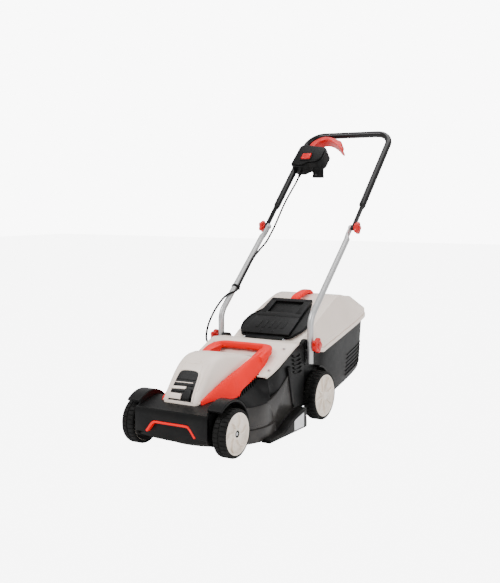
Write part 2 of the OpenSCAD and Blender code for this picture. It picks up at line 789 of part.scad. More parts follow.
// Flattened end of a tube: a strap with a round end
module strap(l, half, x0) {
    translate([x0, 0, 0]) {
        translate([0, -half, 0]) cube([flat_t, 2 * half, l]);
        rotate([0, 90, 0]) cylinder(r = half, h = flat_t);
    }
}

module lower_tube(side) {
    color([0.72, 0.72, 0.72]) place() on_side(side) difference() {
        union() {
            translate([leg_x, 0, 0]) lower_path();
            // flattened upper end with its taper
            translate(joint_at) rotate([180 - lower_lean, 0, 0]) strap(lower_flat_l, 11, flat_in_x);
            hull() {
                translate([leg_x, 0, 0] + joint_at - lower_dir * (taper_l + 3)) rotate([-lower_lean, 0, 0])
                    cylinder(r = lower_tube_r - tube_wall / 2, h = 3, $fn = 32);
                translate([flat_in_x, joint_at[1], joint_at[2]]) rotate([-lower_lean, 0, 0])
                    translate([0, -11, -lower_flat_l]) cube([flat_t, 22, 1]);
            }
        }
        rod_x(bolt_r + running, 500, [0, pivot_y, pivot_z]);
        rod_x(bolt_r, 500, joint_at);
    }
}

module lower_tube_left() { lower_tube(-1); }
module lower_tube_right() { lower_tube(1); }

joint_out_x = flat_in_x + flat_t;

module joint_bolts() {
    color([0.66, 0.66, 0.68]) place() both_sides() translate(joint_at) {
        rod_x(bolt_r, upper_knob_x + 14 - flat_in_x + 2, [(upper_knob_x + 12 + flat_in_x) / 2, 0, 0]);
        rod_x(8, 3, [flat_in_x - 1.5 - seat, 0, 0]);
    }
}

clip_s = 92;

module cable_clip() {
    color([0.07, 0.07, 0.07]) place() mirror([1, 0, 0]) translate([leg_x, 0,
        0] + bend_end + lower_dir * clip_s)
        rotate([-lower_lean, 0, 0]) difference() {
            union() {
                cylinder(r = lower_tube_r + 2, h = 8, center = true);
                translate([-lower_tube_r - cable_d / 2 - 1, 0, 0]) cylinder(r = cable_d / 2 + 2, h = 8,
                    center = true);
            }
            cylinder(r = lower_tube_r, h = 20, center = true);
            translate([-lower_tube_r - cable_d / 2 - 1, 0, 0]) cylinder(r = cable_d / 2, h = 20,
                center = true);
        }
}

// Star knob with its stem towards the mower, its seat at x = 0
module star_knob(r, w, lobes, stem) {
    rotate([0, 90, 0]) difference() {
        union() {
            cylinder(r = r * 0.42, h = stem + 1);
            translate([0, 0, stem]) cylinder(r = r * 0.7, h = w);
            for (i = [0 : lobes - 1]) rotate(360 * i / lobes) translate([r * 0.7, 0, stem + 0.6])
                cylinder(r = r * 0.3, h = w - 1.2, $fn = 32);
            translate([0, 0, stem + w - 1]) cylinder(r = r * 0.35, h = 4);
        }
        translate([0, 0, -1]) cylinder(r = bolt_r + running, h = stem + w - 2);
    }
}

lower_knob_x = leg_x + lower_tube_r + 0.5;
upper_knob_x = joint_out_x + flat_t + 1.2;

module lower_knob(side) {
    color([0.88, 0.13, 0.13]) place() on_side(side) translate([lower_knob_x, pivot_y, pivot_z])
        star_knob(lower_knob_r, 16, 5, 6);
}

module upper_knob(side) {
    color([0.88, 0.13, 0.13]) place() on_side(side) translate([upper_knob_x, joint_at[1], joint_at[2]])
        star_knob(upper_knob_r, 14, 5, 5);
}

module lower_knob_left() { lower_knob(-1); }
module lower_knob_right() { lower_knob(1); }
module upper_knob_left() { upper_knob(-1); }
module upper_knob_right() { upper_knob(1); }

// ---- upper bar ----

upper_flat_x = joint_out_x + 0.5;
upper_x = upper_flat_x + upper_tube_r - 9;
flat_l = 96;

// Frame of the upper bar: its z runs up the legs from the joint
module upper_frame() {
    translate(joint_at) rotate([-upper_lean, 0, 0]) children();
}

// Round part of the upper bar: two legs, two corners and the cross piece
module bar_path() {
    both_sides() {
        translate([upper_x, 0, flat_l + 8]) linear_extrude(upper_run - bar_bend_r - flat_l - 8)
            tube_section(upper_tube_r);
        translate([upper_x - bar_bend_r, 0, upper_run - bar_bend_r]) rotate([90, 0, 0])
            rotate_extrude(angle = 90) translate([bar_bend_r, 0]) tube_section(upper_tube_r);
    }
    translate([bar_bend_r - upper_x, 0, upper_run]) rotate([0, 90,
        0]) linear_extrude(2 * (upper_x - bar_bend_r))
        tube_section(upper_tube_r);
}

// Room for one leg through the switch box
module leg_room() {
    translate([-upper_x, 0, flat_l + 8]) cylinder(r = upper_tube_r + seat, h = upper_run - flat_l);
}

module upper_bar() {
    color([0.06, 0.06, 0.065]) place() upper_frame() difference() {
        union() {
            bar_path();
            both_sides() {
                strap(flat_l, 10, upper_flat_x);
                hull() {
                    translate([upper_flat_x, -10, flat_l - 1]) cube([flat_t, 20, 1]);
                    translate([upper_x, 0, flat_l + 8]) cylinder(r = upper_tube_r - tube_wall / 2,
                        h = 3, $fn = 32);
                }
            }
        }
        rod_x(bolt_r + running, 500);
        // drain holes above the flattened ends
        both_sides() translate([upper_x, 0, flat_l + 20]) rotate([90, 0, 0]) cylinder(r = 2.5, h = 40,
            center = true, $fn = 24);
    }
}

// ---- switch box, lever and button, in the upper bar's frame ----

box_l0 = 296;
box_l1 = 402;
switch_in_x = -56;
switch_out_x = -upper_x - 13;

// Outline of the switch box in x and z of the upper bar's frame
switch_outline = [[switch_out_x, box_l0 + 14], [switch_out_x + 4, box_l1 + 10], [switch_out_x + 18,
    box_l1 + 20],
    [-120, box_l1 + 10], [switch_in_x - 12, box_l1], [switch_in_x, box_l1 - 16], [switch_in_x,
        box_l0 + 38],
    [switch_in_x - 20, box_l0 + 18], [-112, box_l0 + 14], [-128, box_l0], [-160, box_l0]];

// Outline drawn a distance inside another, for corners listed clockwise
function inset_outline(p, t) = let (n = len(p)) [for (i = [0 : n - 1]) let (
    a = unit(p[i] - p[(i + n - 1) % n]), b = unit(p[(i + 1) % n] - p[i]),
    na = [a[1], -a[0]], nb = [b[1], -b[0]]) p[i] + t * (na + nb) / (1 + na * nb)];

module switch_slab(y0, y1, shrink) {
    translate([0, y1, 0]) rotate([90, 0, 0]) linear_extrude(y1 - y0)
        polygon(inset_outline(switch_outline, shrink));
}

// Room for the socket through both halves of the switch box
module socket_room() {
    translate(socket_at) rotate([upper_lean - 180, 0, 0]) translate([0, 0,
        -1]) cylinder(r = socket_r + seat, h = 80);
}

module switch_housing_top() {
    color([0.1, 0.1, 0.105]) place() upper_frame() difference() {
        union() {
            switch_slab(-22, 0, 0);
            switch_slab(-28, -21, 3);
        }
        switch_slab(-24, 1, 6);
        leg_room();
        translate(button_at + [-1, -40, -1]) cube([button_w + 2, 60, button_h + 2]);
        socket_room();
        lever_slot();
    }
}

module switch_housing_bottom() {
    color([0.1, 0.1, 0.105]) place() upper_frame() difference() {
        switch_slab(seat, 22, 0);
        switch_slab(-1, 18, 6);
        leg_room();
        socket_room();
        translate([cable_top_x, cable_top_off, box_l0 - 10]) cylinder(r = cable_d / 2 + 2.2, h = 40);
        lever_slot();
    }
}

button_w = 38;
button_h = 30;
button_at = [-146, -33, 330];

module start_button() {
    color([0.85, 0.13, 0.12]) place() upper_frame() translate(button_at) {
        cube([button_w, 12, button_h]);
    }
}

socket_r = 22;
socket_at = [-84, 4, box_l0 + 40];

// Round mains inlet under the switch box, open at its lower end
module inlet_socket() {
    color([0.12, 0.12, 0.125]) place() upper_frame() translate(socket_at) rotate([upper_lean - 180, 0,
        0]) difference() {
        cylinder(r = socket_r, h = 52);
        translate([0, 0, 18]) cylinder(r = socket_r - 3, h = 40);
    }
}

lever_pivot = [-132, 0, box_l1 + 2];
lever_w = 34;

module lever_slot() {
    translate(lever_pivot) rotate([90, 0, 0]) cylinder(r = 19, h = lever_w + 4, center = true);
}

// Arched bail lever: points of x and z in the bar's frame
module bail_lever() {
    color([0.86, 0.1, 0.11]) place() upper_frame() {
        difference() {
            translate([0, lever_w / 2, 0]) rotate([90, 0, 0]) linear_extrude(lever_w) polygon([
                [-141, box_l1 - 4], [-143, box_l1 + 36], [-118, box_l1 + 60], [-92, box_l1 + 68], [-60,
                    box_l1 + 60],
                [-12, box_l1 + 32], [-9, box_l1 + 6], [6, box_l1 - 8], [4, box_l1 - 11], [-18, box_l1 + 2],
                [-58, box_l1 + 27], [-86, box_l1 + 34], [-110, box_l1 + 25], [-124, box_l1 - 6]]);
            translate(lever_pivot) rotate([90, 0, 0]) cylinder(r = 3, h = 100, center = true);
        }
    }
}

module strain_relief() {
    color([0.06, 0.06, 0.06]) place() upper_frame() translate([cable_top_x, cable_top_off,
        box_l0 - 26]) difference() {
        cylinder(r1 = cable_d / 2 + 1, r2 = cable_d / 2 + 2.2, h = 34, $fn = 32);
        translate([0, 0, -1]) cylinder(r = cable_d / 2, h = 40);
    }
}

// ---- cable ----

cable_top_x = -143;
cable_top_off = 6;

// Route of the cable's upper run in the bar's frame, from the switch box down to the joint
upper_route = [[-143, 6, 312], [-143, 6, 270], [-143, 6, 235], [-146, 6, 190], [-150, 8, 140],
    [-152, 12, 90], [-152, 15, 50], [-152, 16, 26]];
// Route past the joint, down to the clip and round the pivot, from the front axle
elbow_route = [[-152, 800.4, 626.9], [-152, 792, 617.5], [-152, 780, 606], [-152, 768.4, 595.4]];
lower_route = [[-152, 768, 595], [-153, 735, 566], [-154.5, 700, 545], [-154.5, 650, 515.5],
    [-154.5, 600, 470], [-154.5, 560, 431.5], [-154.5, 542.6, 414.9]];
loop_route = [[-154.5, 541.8, 414.2], [-154.5, 531, 407], [-158, 516, 402.5], [-168, 500, 397],
    [-181, 480, 378], [-193, 455, 345], [-199, 430, 308], [-198, 412, 276], [-190, 398, 254],
    [-176, 389, 243], [-162, 386, 240], [-150, 386, 240]];

module cable_colour() { color([0.05, 0.05, 0.05]) children(); }

module cable_upper() {
    cable_colour() place() upper_frame() cord(upper_route, cable_d / 2, 3);
}

module cable_elbow() {
    cable_colour() place() cord(elbow_route, cable_d / 2, 2);
}

module cable_lower() {
    cable_colour() place() cord(lower_route, cable_d / 2, 3);
}

module cable_loop() {
    cable_colour() place() cord(loop_route, cable_d / 2, 3);
}

// ---- discharge flap ----

hinge_y = body_rear_y + 20;
hinge_z = 262;
flap_tilt = 26.5;
flap_l = 226;
pin_r = 3;

// Frame of the flap: y runs up its slope from the hinge pin
module flap_frame() {
    translate([0, hinge_y, hinge_z]) rotate([flap_tilt, 0, 0]) children();
}

module discharge_flap() {
    color([0.12, 0.12, 0.125]) place() flap_frame() difference() {
        union() {
            // base with its side wings
            linear_extrude(6) polygon([[-92, 9], [-118, 50], [-126, 86], [-120, 128], [-92, 168],
                [-flap_half, flap_l - 6],
                [flap_half, flap_l - 6], [92, 168], [120, 128], [126, 86], [118, 50], [92, 9]]);
            // raised panel
            translate([0, 0, 4]) linear_extrude(12) polygon([[-flap_half - 10, 12], [-flap_half,
                flap_l], [flap_half, flap_l],
                [flap_half + 10, 12]]);
            // rolled front lip round the pin
            rod_x(8, 2 * notch_half - 6, [0, 0, 0]);
            translate([-notch_half + 3, 0, -4]) cube([2 * notch_half - 6, 18, 12]);
        }
        // grip window
        translate([-56, flap_l - 86, 7]) cube([112, 70, 20]);
        // two drain holes
        for (x = [-22, 22]) translate([x, 24, -10]) cylinder(r = 4, h = 40);
        rod_x(pin_r + running, 400);
    }
}

module flap_pin() {
    color([0.6, 0.6, 0.62]) place() rod_x(pin_r, 2 * notch_half + 8, [0, hinge_y, hinge_z]);
}

module flap_spring() {
    color([0.5, 0.5, 0.52]) place() translate([0, hinge_y, hinge_z]) both_sides()
        translate([notch_half - 1.5, 0, 0]) difference() {
            rod_x(6.5, 2);
            rod_x(pin_r + seat, 3);
        }
}

// ---- grass box ----

box_y = rear_y - 60;
box_end_y = box_y + box_l;

// Stations of the lid: y, top height, half width of the flat top, seam height, half width of the rim,
// rim height
lid_stations = [
    [box_y, 258, 130, 248, 138, 238], [box_y + 22, 269, 131, 252, 139, 234],
    [box_y + 36, 278, 132, 254, 139, 232], [box_y + 66, 292, 132, 250, 140, 226],
    [box_y + 96, 306, 132, 246, box_half - 2, 216], [box_y + 130, 321, 130, 252, box_half, 222],
    [box_y + 290, box_top_z, 122, 288, box_half + 1, 258], [box_y + 380, box_top_z - 6, 116, 308,
        box_half, 278],
    [box_end_y - 20, box_top_z - 16, 104, 324, box_half - 6, 294], [box_end_y, box_top_z - 34, 86, 328,
        box_half - 26, 299]];

function lid_ring(s, t) = let (top = s[1] - t, flat = s[2] - t, rim_x = s[4] - t,
    y = s[0] + (s[0] > box_end_y - 5 ? -t : s[0] < box_y + 5 ? -2 * t : 0))
    [[-rim_x, y, s[5]], [-rim_x, y, s[3] - t], [-flat, y, top - 4], [-flat + 14, y, top],
    [flat - 14, y, top], [flat, y, top - 4], [rim_x, y, s[3] - t], [rim_x, y, s[5]]];

module box_lid() {
    color([0.82, 0.79, 0.75]) place() difference() {
        loft([for (s = lid_stations) lid_ring(s, 0)]);
        loft([for (s = lid_stations) lid_ring([s[0], s[1], s[2], s[3], s[4], s[5] - 2], box_wall)]);
    }
}

// Stations of the body: y, top height, bottom height, half widths at the top and the bottom
body_stations = [
    [rear_y + 24, 213, 112, 138, 132], [rear_y + 50, 219, 74, 142, 134], [rear_y + 92, 228, 44, 152, 136],
    [rear_y + 190, 250, 54, 156, 140], [box_end_y - 46, 289, 98, 152, 140], [box_end_y - 30, 293, 124,
        146, 136]];

function body_ring(s, t) = let (top = s[1] - 1, low = s[2] + t, wt = s[3] - t, wl = s[4] - t,
    y = s[0] + (s[0] > box_end_y - 35 ? -t : 0))
    [[-wl + 8, y, low], [-wl, y, low + 10], [-wt, y, top], [wt, y, top], [wl, y, low + 10], [wl - 8, y,
        low]];

module box_body() {
    color([0.11, 0.11, 0.115]) place() difference() {
        union() {
            loft([for (s = body_stations) body_ring(s, 0)]);
            // ribs on the rear half
            for (i = [0 : 4]) both_sides() translate([138, box_end_y - 150, 128 + 26 * i]) rotate([12,
                0, 0]) cube([14 + 2.2 * i, 100, 5]);
        }
        translate([0, -box_wall, 2]) loft([for (s = body_stations) body_ring(s, box_wall)]);
        translate([-126, rear_y, 118]) cube([252, 40, 200]);
    }
}

grip_y = box_y + 190;
grip_z = 345;

// Arched carrying grip on the lid
module box_handle() {
    color([0.88, 0.14, 0.14]) place() difference() {
        slab_x([[grip_y, grip_z - 2], [grip_y + 6, grip_z + 30], [grip_y + 78, grip_z + 54],
            [grip_y + 104, grip_z + 55],
            [grip_y + 142, grip_z + 34], [grip_y + 142, grip_z + 20]], -16, 16);
        slab_x([[grip_y + 20, grip_z - 20], [grip_y + 24, grip_z + 20], [grip_y + 80, grip_z + 40],
            [grip_y + 102, grip_z + 41], [grip_y + 120, grip_z + 20]], -17, 17);
        loft([for (s = lid_stations) lid_ring(s, -seat)]);
    }
}

deck_housing();
front_bumper();
bumper_trim();
motor_cover();
vent_grille();
carry_frame();
rear_cover_plate();
cover_screws();
side_louvres();
rating_label();
front_axle();
rear_axle();
axle_nuts();
handle_brackets();
pivot_bolts();
cable_gland();
motor_stator();
motor_bearings();
motor_bolts();
rotor_shaft();
cooling_fan();
blade_carrier();
blade();
blade_bolt();
tyre_front_left();
tyre_front_right();
tyre_rear_left();
tyre_rear_right();
rim_front_left();
rim_front_right();
rim_rear_left();
rim_rear_right();
hub_cap_rear_left();
hub_cap_rear_right();
lower_tube_left();
lower_tube_right();
joint_bolts();
cable_clip();
lower_knob_left();
lower_knob_right();
upper_knob_left();
upper_knob_right();
upper_bar();
switch_housing_top();
switch_housing_bottom();
inlet_socket();
strain_relief();
bail_lever();
start_button();
cable_upper();
cable_elbow();
cable_lower();
cable_loop();
discharge_flap();
flap_pin();
flap_spring();
box_lid();
box_body();
box_handle();
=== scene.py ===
from math import atan2, cos, pi, radians, sin

import bmesh
import bpy
from mathutils import Matrix, Vector
from mathutils.bvhtree import BVHTree


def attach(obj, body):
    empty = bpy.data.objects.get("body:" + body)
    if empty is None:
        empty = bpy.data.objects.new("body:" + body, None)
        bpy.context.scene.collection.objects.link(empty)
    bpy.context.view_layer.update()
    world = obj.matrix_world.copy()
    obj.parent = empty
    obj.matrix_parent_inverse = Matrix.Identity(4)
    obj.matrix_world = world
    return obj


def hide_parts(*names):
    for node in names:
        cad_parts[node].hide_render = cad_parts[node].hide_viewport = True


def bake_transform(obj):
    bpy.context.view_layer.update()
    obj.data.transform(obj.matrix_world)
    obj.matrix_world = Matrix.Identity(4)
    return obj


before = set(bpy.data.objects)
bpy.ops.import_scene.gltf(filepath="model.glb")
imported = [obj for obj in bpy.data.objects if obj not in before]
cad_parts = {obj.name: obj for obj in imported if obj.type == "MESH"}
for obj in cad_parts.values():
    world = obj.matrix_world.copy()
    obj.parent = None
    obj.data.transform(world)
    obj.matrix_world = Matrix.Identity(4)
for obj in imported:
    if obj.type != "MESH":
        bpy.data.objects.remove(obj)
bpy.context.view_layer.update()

# ---------------------------------------------------------------- sizes of the mower, in millimetres
# x runs to the right, y to the rear from the front axle, z up from the ground

FRONT_R, REAR_R, TYRE_W = 70, 80, 42
REAR_Y = 524
FRONT_TRACK, REAR_TRACK = 315, 340
RIM_SHARE = 0.86
MIDDLE_Y = 530.1568
LEG_X, LEG_R, LEG_LEAN, LEG_RUN = 169, 10, radians(48), 395
PIVOT = Vector((0, 458, 255))
BEND_R, BEND_Z = 60, 312
BAR_R, BAR_LEAN, BAR_RUN, BAR_CORNER = 12, radians(45.5), 492, 62
CABLE_R = 3.5
MM = 0.001

BEND_END = Vector((0, PIVOT.y + BEND_R * (1 - cos(LEG_LEAN)), BEND_Z + BEND_R * sin(LEG_LEAN)))
LEG_DIR = Vector((0, sin(LEG_LEAN), cos(LEG_LEAN)))
JOINT = BEND_END + LEG_DIR * LEG_RUN


# ---------------------------------------------------------------- shaping tools


def spline(points, steps):
    """Smooth points on a curve through given points."""
    p = [Vector(q) for q in points]
    made = []
    for i in range(len(p) - 1):
        a, b, c, d = p[max(i - 1, 0)], p[i], p[i + 1], p[min(i + 2, len(p) - 1)]
        for s in range(steps):
            t = s / steps
            made.append(0.5 * (2 * b + (c - a) * t + (2 * a - 5 * b + 4 * c - d) * t * t
                               + (3 * b - a - 3 * c + d) * t ** 3))
    return made + [p[-1]]


def rounded(outline, radius, steps=4):
    """Flat outline with each corner turned into a short curve."""
    made, n = [], len(outline)
    for i in range(n):
        before, at, after = (Vector(outline[(i + k) % n]) for k in (-1, 0, 1))
        r = min(radius, (before - at).length * 0.48, (after - at).length * 0.48)
        a = at + (before - at).normalized() * r
        b = at + (after - at).normalized() * r
        made += [(1 - t) ** 2 * a + 2 * t * (1 - t) * at + t * t * b
                 for t in (k / steps for k in range(steps + 1))]
    return made


def outline_of(bm, points, closed=True):
    verts = [bm.verts.new(p) for p in points]
    ends = verts[1:] + verts[:1] if closed else verts[1:]
    return verts, [bm.edges.new(pair) for pair in zip(verts, ends)]


def key(co):
    return round(co.x, 5), round(co.y, 5), round(co.z, 5)


def skin(sections, closed=True, caps=True):
    """Shell through sections with equal numbers of points, each one extruded on from the last."""
    bm = bmesh.new()
    verts, edges = outline_of(bm, sections[0], closed)
    if caps:
        bm.faces.new(verts)
    at = [Vector(p) for p in sections[0]]
    for section in sections[1:]:
        made = bmesh.ops.extrude_edge_only(bm, edges=edges)["geom"]
        place = {key(p): Vector(q) for p, q in zip(at, section)}
        order = {key(p): i for i, p in enumerate(at)}
        fresh = [g for g in made if isinstance(g, bmesh.types.BMVert)]
        edges = [g for g in made if isinstance(g, bmesh.types.BMEdge)]
        last = [None] * len(at)
        for v in fresh:
            last[order[key(v.co)]] = v
            v.co = place[key(v.co)]
        at = [v.co.copy() for v in last]
    if caps:
        bm.faces.new(last)
    bmesh.ops.recalc_face_normals(bm, faces=bm.faces)
    return bm


def section_at(centre, side, up, half_side, half_up, power=2.0, count=20):
    """Ring of points, from a circle at power 2 to a rounded box at higher powers."""
    ring = []
    for k in range(count):
        a = 2 * pi * (k + 0.5) / count
        c, s = cos(a), sin(a)
        ring.append(centre + side * half_side * abs(c) ** (2 / power) * (1 if c > 0 else -1)
                    + up * half_up * abs(s) ** (2 / power) * (1 if s > 0 else -1))
    return ring


def travel(path, i, loop=False):
    n = len(path)
    if loop:
        return (path[(i + 1) % n] - path[(i - 1) % n]).normalized()
    return (path[min(i + 1, n - 1)] - path[max(i - 1, 0)]).normalized()


def sweep(path, half_side, half_up, up, power=2.0, count=20, loop=False):
    """Bar along a path. The up direction may be a list along the path."""
    path = [Vector(p) for p in path]
    ups = up if isinstance(up, list) else [up] * len(path)
    rings = []
    for i, p in enumerate(path):
        t = travel(path, i, loop)
        side = t.cross(Vector(ups[i])).normalized()
        rings.append(section_at(p, side, side.cross(t).normalized(), half_side, half_up, power, count))
    if loop:
        bm = skin(rings + [rings[0]], caps=False)
        bmesh.ops.remove_doubles(bm, verts=bm.verts, dist=0.01)
        return bm
    return skin(rings)


def hose(points, radius, steps=6, count=14):
    """Round tube along a free curve, turned as little as possible on its way."""
    path = spline(points, steps)
    side = travel(path, 0).orthogonal().normalized()
    rings = []
    for i, p in enumerate(path):
        t = travel(path, i)
        side = (side - t * side.dot(t)).normalized()
        rings.append(section_at(p, side, t.cross(side), radius, radius, 2.0, count))
    return skin(rings)


def lathe(profile, steps=72, closed=True, start=0.0, turn=2 * pi):
    """Profile of radius and height, spun about z."""
    bm = bmesh.new()
    verts, edges = outline_of(bm, [(r * cos(start), r * sin(start), h) for r, h in profile], closed)
    full = turn > 2 * pi - 0.001
    bmesh.ops.spin(bm, geom=verts + edges, cent=(0, 0, 0), axis=(0, 0, 1), dvec=(0, 0, 0), angle=turn,
                   steps=steps,
                   use_merge=full, use_normal_flip=False, use_duplicate=False)
    bmesh.ops.remove_doubles(bm, verts=bm.verts, dist=0.003)
    if not full:
        bmesh.ops.holes_fill(bm, edges=[e for e in bm.edges if e.is_boundary], sides=0)
    bmesh.ops.recalc_face_normals(bm, faces=bm.faces)
    return bm


def soften(bm, size, segments=2, over=50):
    """Rounds every edge that turns by more than an angle."""
    sharp = [e for e in bm.edges if len(e.link_faces) == 2 and e.calc_face_angle(0) > radians(over)]
    bmesh.ops.bevel(bm, geom=sharp, offset=size, offset_type="OFFSET", segments=segments, profile=0.5,
                    affect="EDGES", clamp_overlap=True, material=-1)
    return bm


def slab(outline, depth, edge=1.0, segments=2):
    """Plate from a flat outline in x and y, with its rims rounded."""
    bm = bmesh.new()
    face = bm.faces.new([bm.verts.new((p[0], p[1], 0)) for p in outline])
    made = bmesh.ops.extrude_face_region(bm, geom=[face])["geom"]
    bmesh.ops.translate(bm, vec=(0, 0, depth),
                        verts=[g for g in made if isinstance(g, bmesh.types.BMVert)])
    bmesh.ops.recalc_face_normals(bm, faces=bm.faces)
    if edge:
        soften(bm, edge, segments, 60)
    return bm


def block(low, high, edge=1.0, segments=2):
    x, y = (low[0], high[0]), (low[1], high[1])
    bm = slab([(x[0], y[0]), (x[1], y[0]), (x[1], y[1]), (x[0], y[1])], high[2] - low[2], edge,
              segments)
    return moved(bm, Matrix.Translation((0, 0, low[2])))


def moved(bm, matrix):
    bmesh.ops.transform(bm, matrix=matrix, verts=bm.verts)
    return bm


def joined(*parts):
    whole = bmesh.new()
    for part in parts:
        mesh = bpy.data.meshes.new("part")
        part.to_mesh(mesh)
        part.free()
        whole.from_mesh(mesh)
        bpy.data.meshes.remove(mesh)
    return whole


def both_sides(bm):
    """The right half's shapes and the same on the left."""
    bmesh.ops.mirror(bm, geom=bm.verts[:] + bm.edges[:] + bm.faces[:], axis="X", merge_dist=0.0001)
    bmesh.ops.recalc_face_normals(bm, faces=bm.faces)
    return bm


def shift(x, y, z):
    return Matrix.Translation((x, y, z))


ACROSS = Matrix.Rotation(pi / 2, 4, "Y")  # z to x
FACE_X = Matrix(((0, 0, 1, 0), (1, 0, 0, 0), (0, 1, 0, 0),
                 (0, 0, 0, 1)))  # outline in y and z, depth along x
FACE_Y = Matrix(((1, 0, 0, 0), (0, 0, 1, 0), (0, 1, 0, 0),
                 (0, 0, 0, 1)))  # outline in x and z, depth along y
LEFT = Matrix.Scale(-1, 4, (1, 0, 0))
BAR_FRAME = Matrix.Translation(JOINT) @ Matrix.Rotation(-BAR_LEAN, 4, "X")


def slab_x(outline, from_x, to_x, edge=1.0, corner=0.0, segments=2):
    """Plate across x from an outline in y and z."""
    if corner:
        outline = rounded(outline, corner)
    return moved(slab(outline, to_x - from_x, edge, segments), shift(from_x, 0, 0) @ FACE_X)


def slab_y(outline, from_y, to_y, edge=1.0, corner=0.0, segments=2):
    if corner:
        outline = rounded(outline, corner)
    return moved(slab(outline, to_y - from_y, edge, segments), shift(0, from_y, 0) @ FACE_Y)


def piece(name, body, finish, bm, *nodes, crease=36):
    """Finished piece in the shared frame, riding on its body in place of its CAD nodes."""
    bmesh.ops.recalc_face_normals(bm, faces=bm.faces)
    for f in bm.faces:
        f.smooth = True
    for e in bm.edges:
        e.smooth = len(e.link_faces) != 2 or e.calc_face_angle(0) < radians(crease)
    moved(bm, Matrix.Scale(MM, 4) @ shift(0, -MIDDLE_Y, 0))
    mesh = bpy.data.meshes.new(name)
    bm.to_mesh(mesh)
    bm.free()
    obj = bpy.data.objects.new(name, mesh)
    bpy.context.scene.collection.objects.link(obj)
    obj.data.materials.append(finish.material)
    if body:
        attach(obj, body)
    if nodes:
        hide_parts(*nodes)
    return obj


# ---------------------------------------------------------------- finishes


class Wire:
    """A node's output in a material. Sums on it add Math nodes."""

    def __init__(self, finish, socket):
        self.finish, self.socket = finish, socket

    def math(self, operation, a, b=0.0, clamp=False):
        settings = {"operation": operation, "use_clamp": clamp}
        return self.finish.node("ShaderNodeMath", settings, {0: a, 1: b})

    def __add__(self, other):
        return self.math("ADD", self, other)

    __radd__ = __add__

    def __sub__(self, other):
        return self.math("SUBTRACT", self, other)

    def __rsub__(self, other):
        return self.math("SUBTRACT", other, self)

    def __mul__(self, other):
        return self.math("MULTIPLY", self, other)

    __rmul__ = __mul__

    def clamped(self):
        return self.math("ADD", self, 0.0, True)


class Finish:
    """One material: its nodes, its slot in the record and its shader."""

    def __init__(self, name, slot, **constants):
        self.slot = slot
        self.material = bpy.data.materials.new(name)
        self.material.use_nodes = True
        self.tree = self.material.node_tree
        self.shader = self.tree.nodes["Principled BSDF"]
        for socket, value in constants.items():
            self.shader.inputs[socket.replace("_", " ")].default_value = value
        self.place = self.node("ShaderNodeTexCoord", {}, {}, "Object")

    def node(self, kind, settings, inputs, output=0):
        made = self.tree.nodes.new(kind)
        for name, value in settings.items():
            setattr(made, name, value)
        for name, value in inputs.items():
            if isinstance(value, Wire):
                self.tree.links.new(value.socket, made.inputs[name])
            else:
                made.inputs[name].default_value = value
        return Wire(self, made.outputs[output])

    def feed(self, **wires):
        for name, wire in wires.items():
            self.tree.links.new(wire.socket, self.shader.inputs[name.replace("_", " ")])
        return self

    def noise(self, scale, detail=3.0, rough=0.5, at=None):
        return self.node("ShaderNodeTexNoise", {},
                         {"Vector": at or self.place, "Scale": scale, "Detail": detail,
                          "Roughness": rough})

    def cells(self, scale, at=None):
        return self.node("ShaderNodeTexVoronoi", {"feature": "F1"},
                         {"Vector": at or self.place, "Scale": scale}, "Distance")

    def stretched(self, x, y, z):
        return self.node("ShaderNodeMapping", {}, {"Vector": self.place, "Scale": (x, y, z)})

    def height(self):
        return self.node("ShaderNodeSeparateXYZ", {}, {0: self.place}, "Z")

    def span(self, value, low, high, to_low=0.0, to_high=1.0):
        return self.node("ShaderNodeMapRange", {"clamp": True},
                         {0: value, 1: low, 2: high, 3: to_low, 4: to_high})

    def blend(self, factor, a, b):
        a, b = ((*c, 1) if isinstance(c, tuple) else c for c in (a, b))
        return self.node("ShaderNodeMix", {"data_type": "RGBA"}, {0: factor, 6: a, 7: b}, 2)

    def bump(self, height, strength, distance):
        return self.node("ShaderNodeBump", {},
                         {"Height": height, "Strength": strength, "Distance": distance})


def moulded(name, slot, dark, light, rough, grain, relief, dust=(0.3, 0.27, 0.22), dusty=0.0,
            **constants):
    """Moulded plastic: slow colour drift, fine grain, faint swirls in the gloss and dust low down."""
    f = Finish(name, slot, **constants)
    drift = f.span(f.noise(7.0, 4.0), 0.35, 0.65)
    colour = f.blend(drift, dark, light)
    swirl = f.noise(45.0, 5.0, 0.6)
    specks = f.span(f.noise(420.0, 2.0), 0.62, 0.72)
    low = f.span(f.height(), 0.02, 0.2, 1.0, 0.0) * f.span(f.noise(26.0, 6.0, 0.65), 0.42, 0.68)
    colour = f.blend((low * dusty + specks * (dusty * 0.25)).clamped(), colour, dust)
    fine = f.noise(grain, 2.0) * 0.6 + f.cells(grain * 0.7) * 0.4
    return f.feed(
        Base_Color=colour,
        Roughness=(rough + (swirl - 0.5) * 0.16 + low * (dusty * 0.5)).clamped(),
        Normal=f.bump(fine + swirl * 0.25, relief, 0.0004),
    )


def metal(name, slot, dark, light, rough, stretch, relief, metallic=1.0, **constants):
    """Metal or metallic coat with fine lines or flakes and a little wear."""
    f = Finish(name, slot, **constants)
    lines = f.noise(900.0, 3.0, 0.6, f.stretched(*stretch))
    stains = f.span(f.noise(30.0, 5.0, 0.6), 0.45, 0.7)
    colour = f.blend(lines, dark, light)
    colour = f.blend(stains * 0.35, colour, tuple(c * 0.75 for c in dark))
    return f.feed(
        Base_Color=colour,
        Metallic=(metallic - stains * 0.15).clamped(),
        Roughness=(rough + (lines - 0.5) * 0.12 + stains * 0.08).clamped(),
        Normal=f.bump(lines, relief, 0.0002),
    )


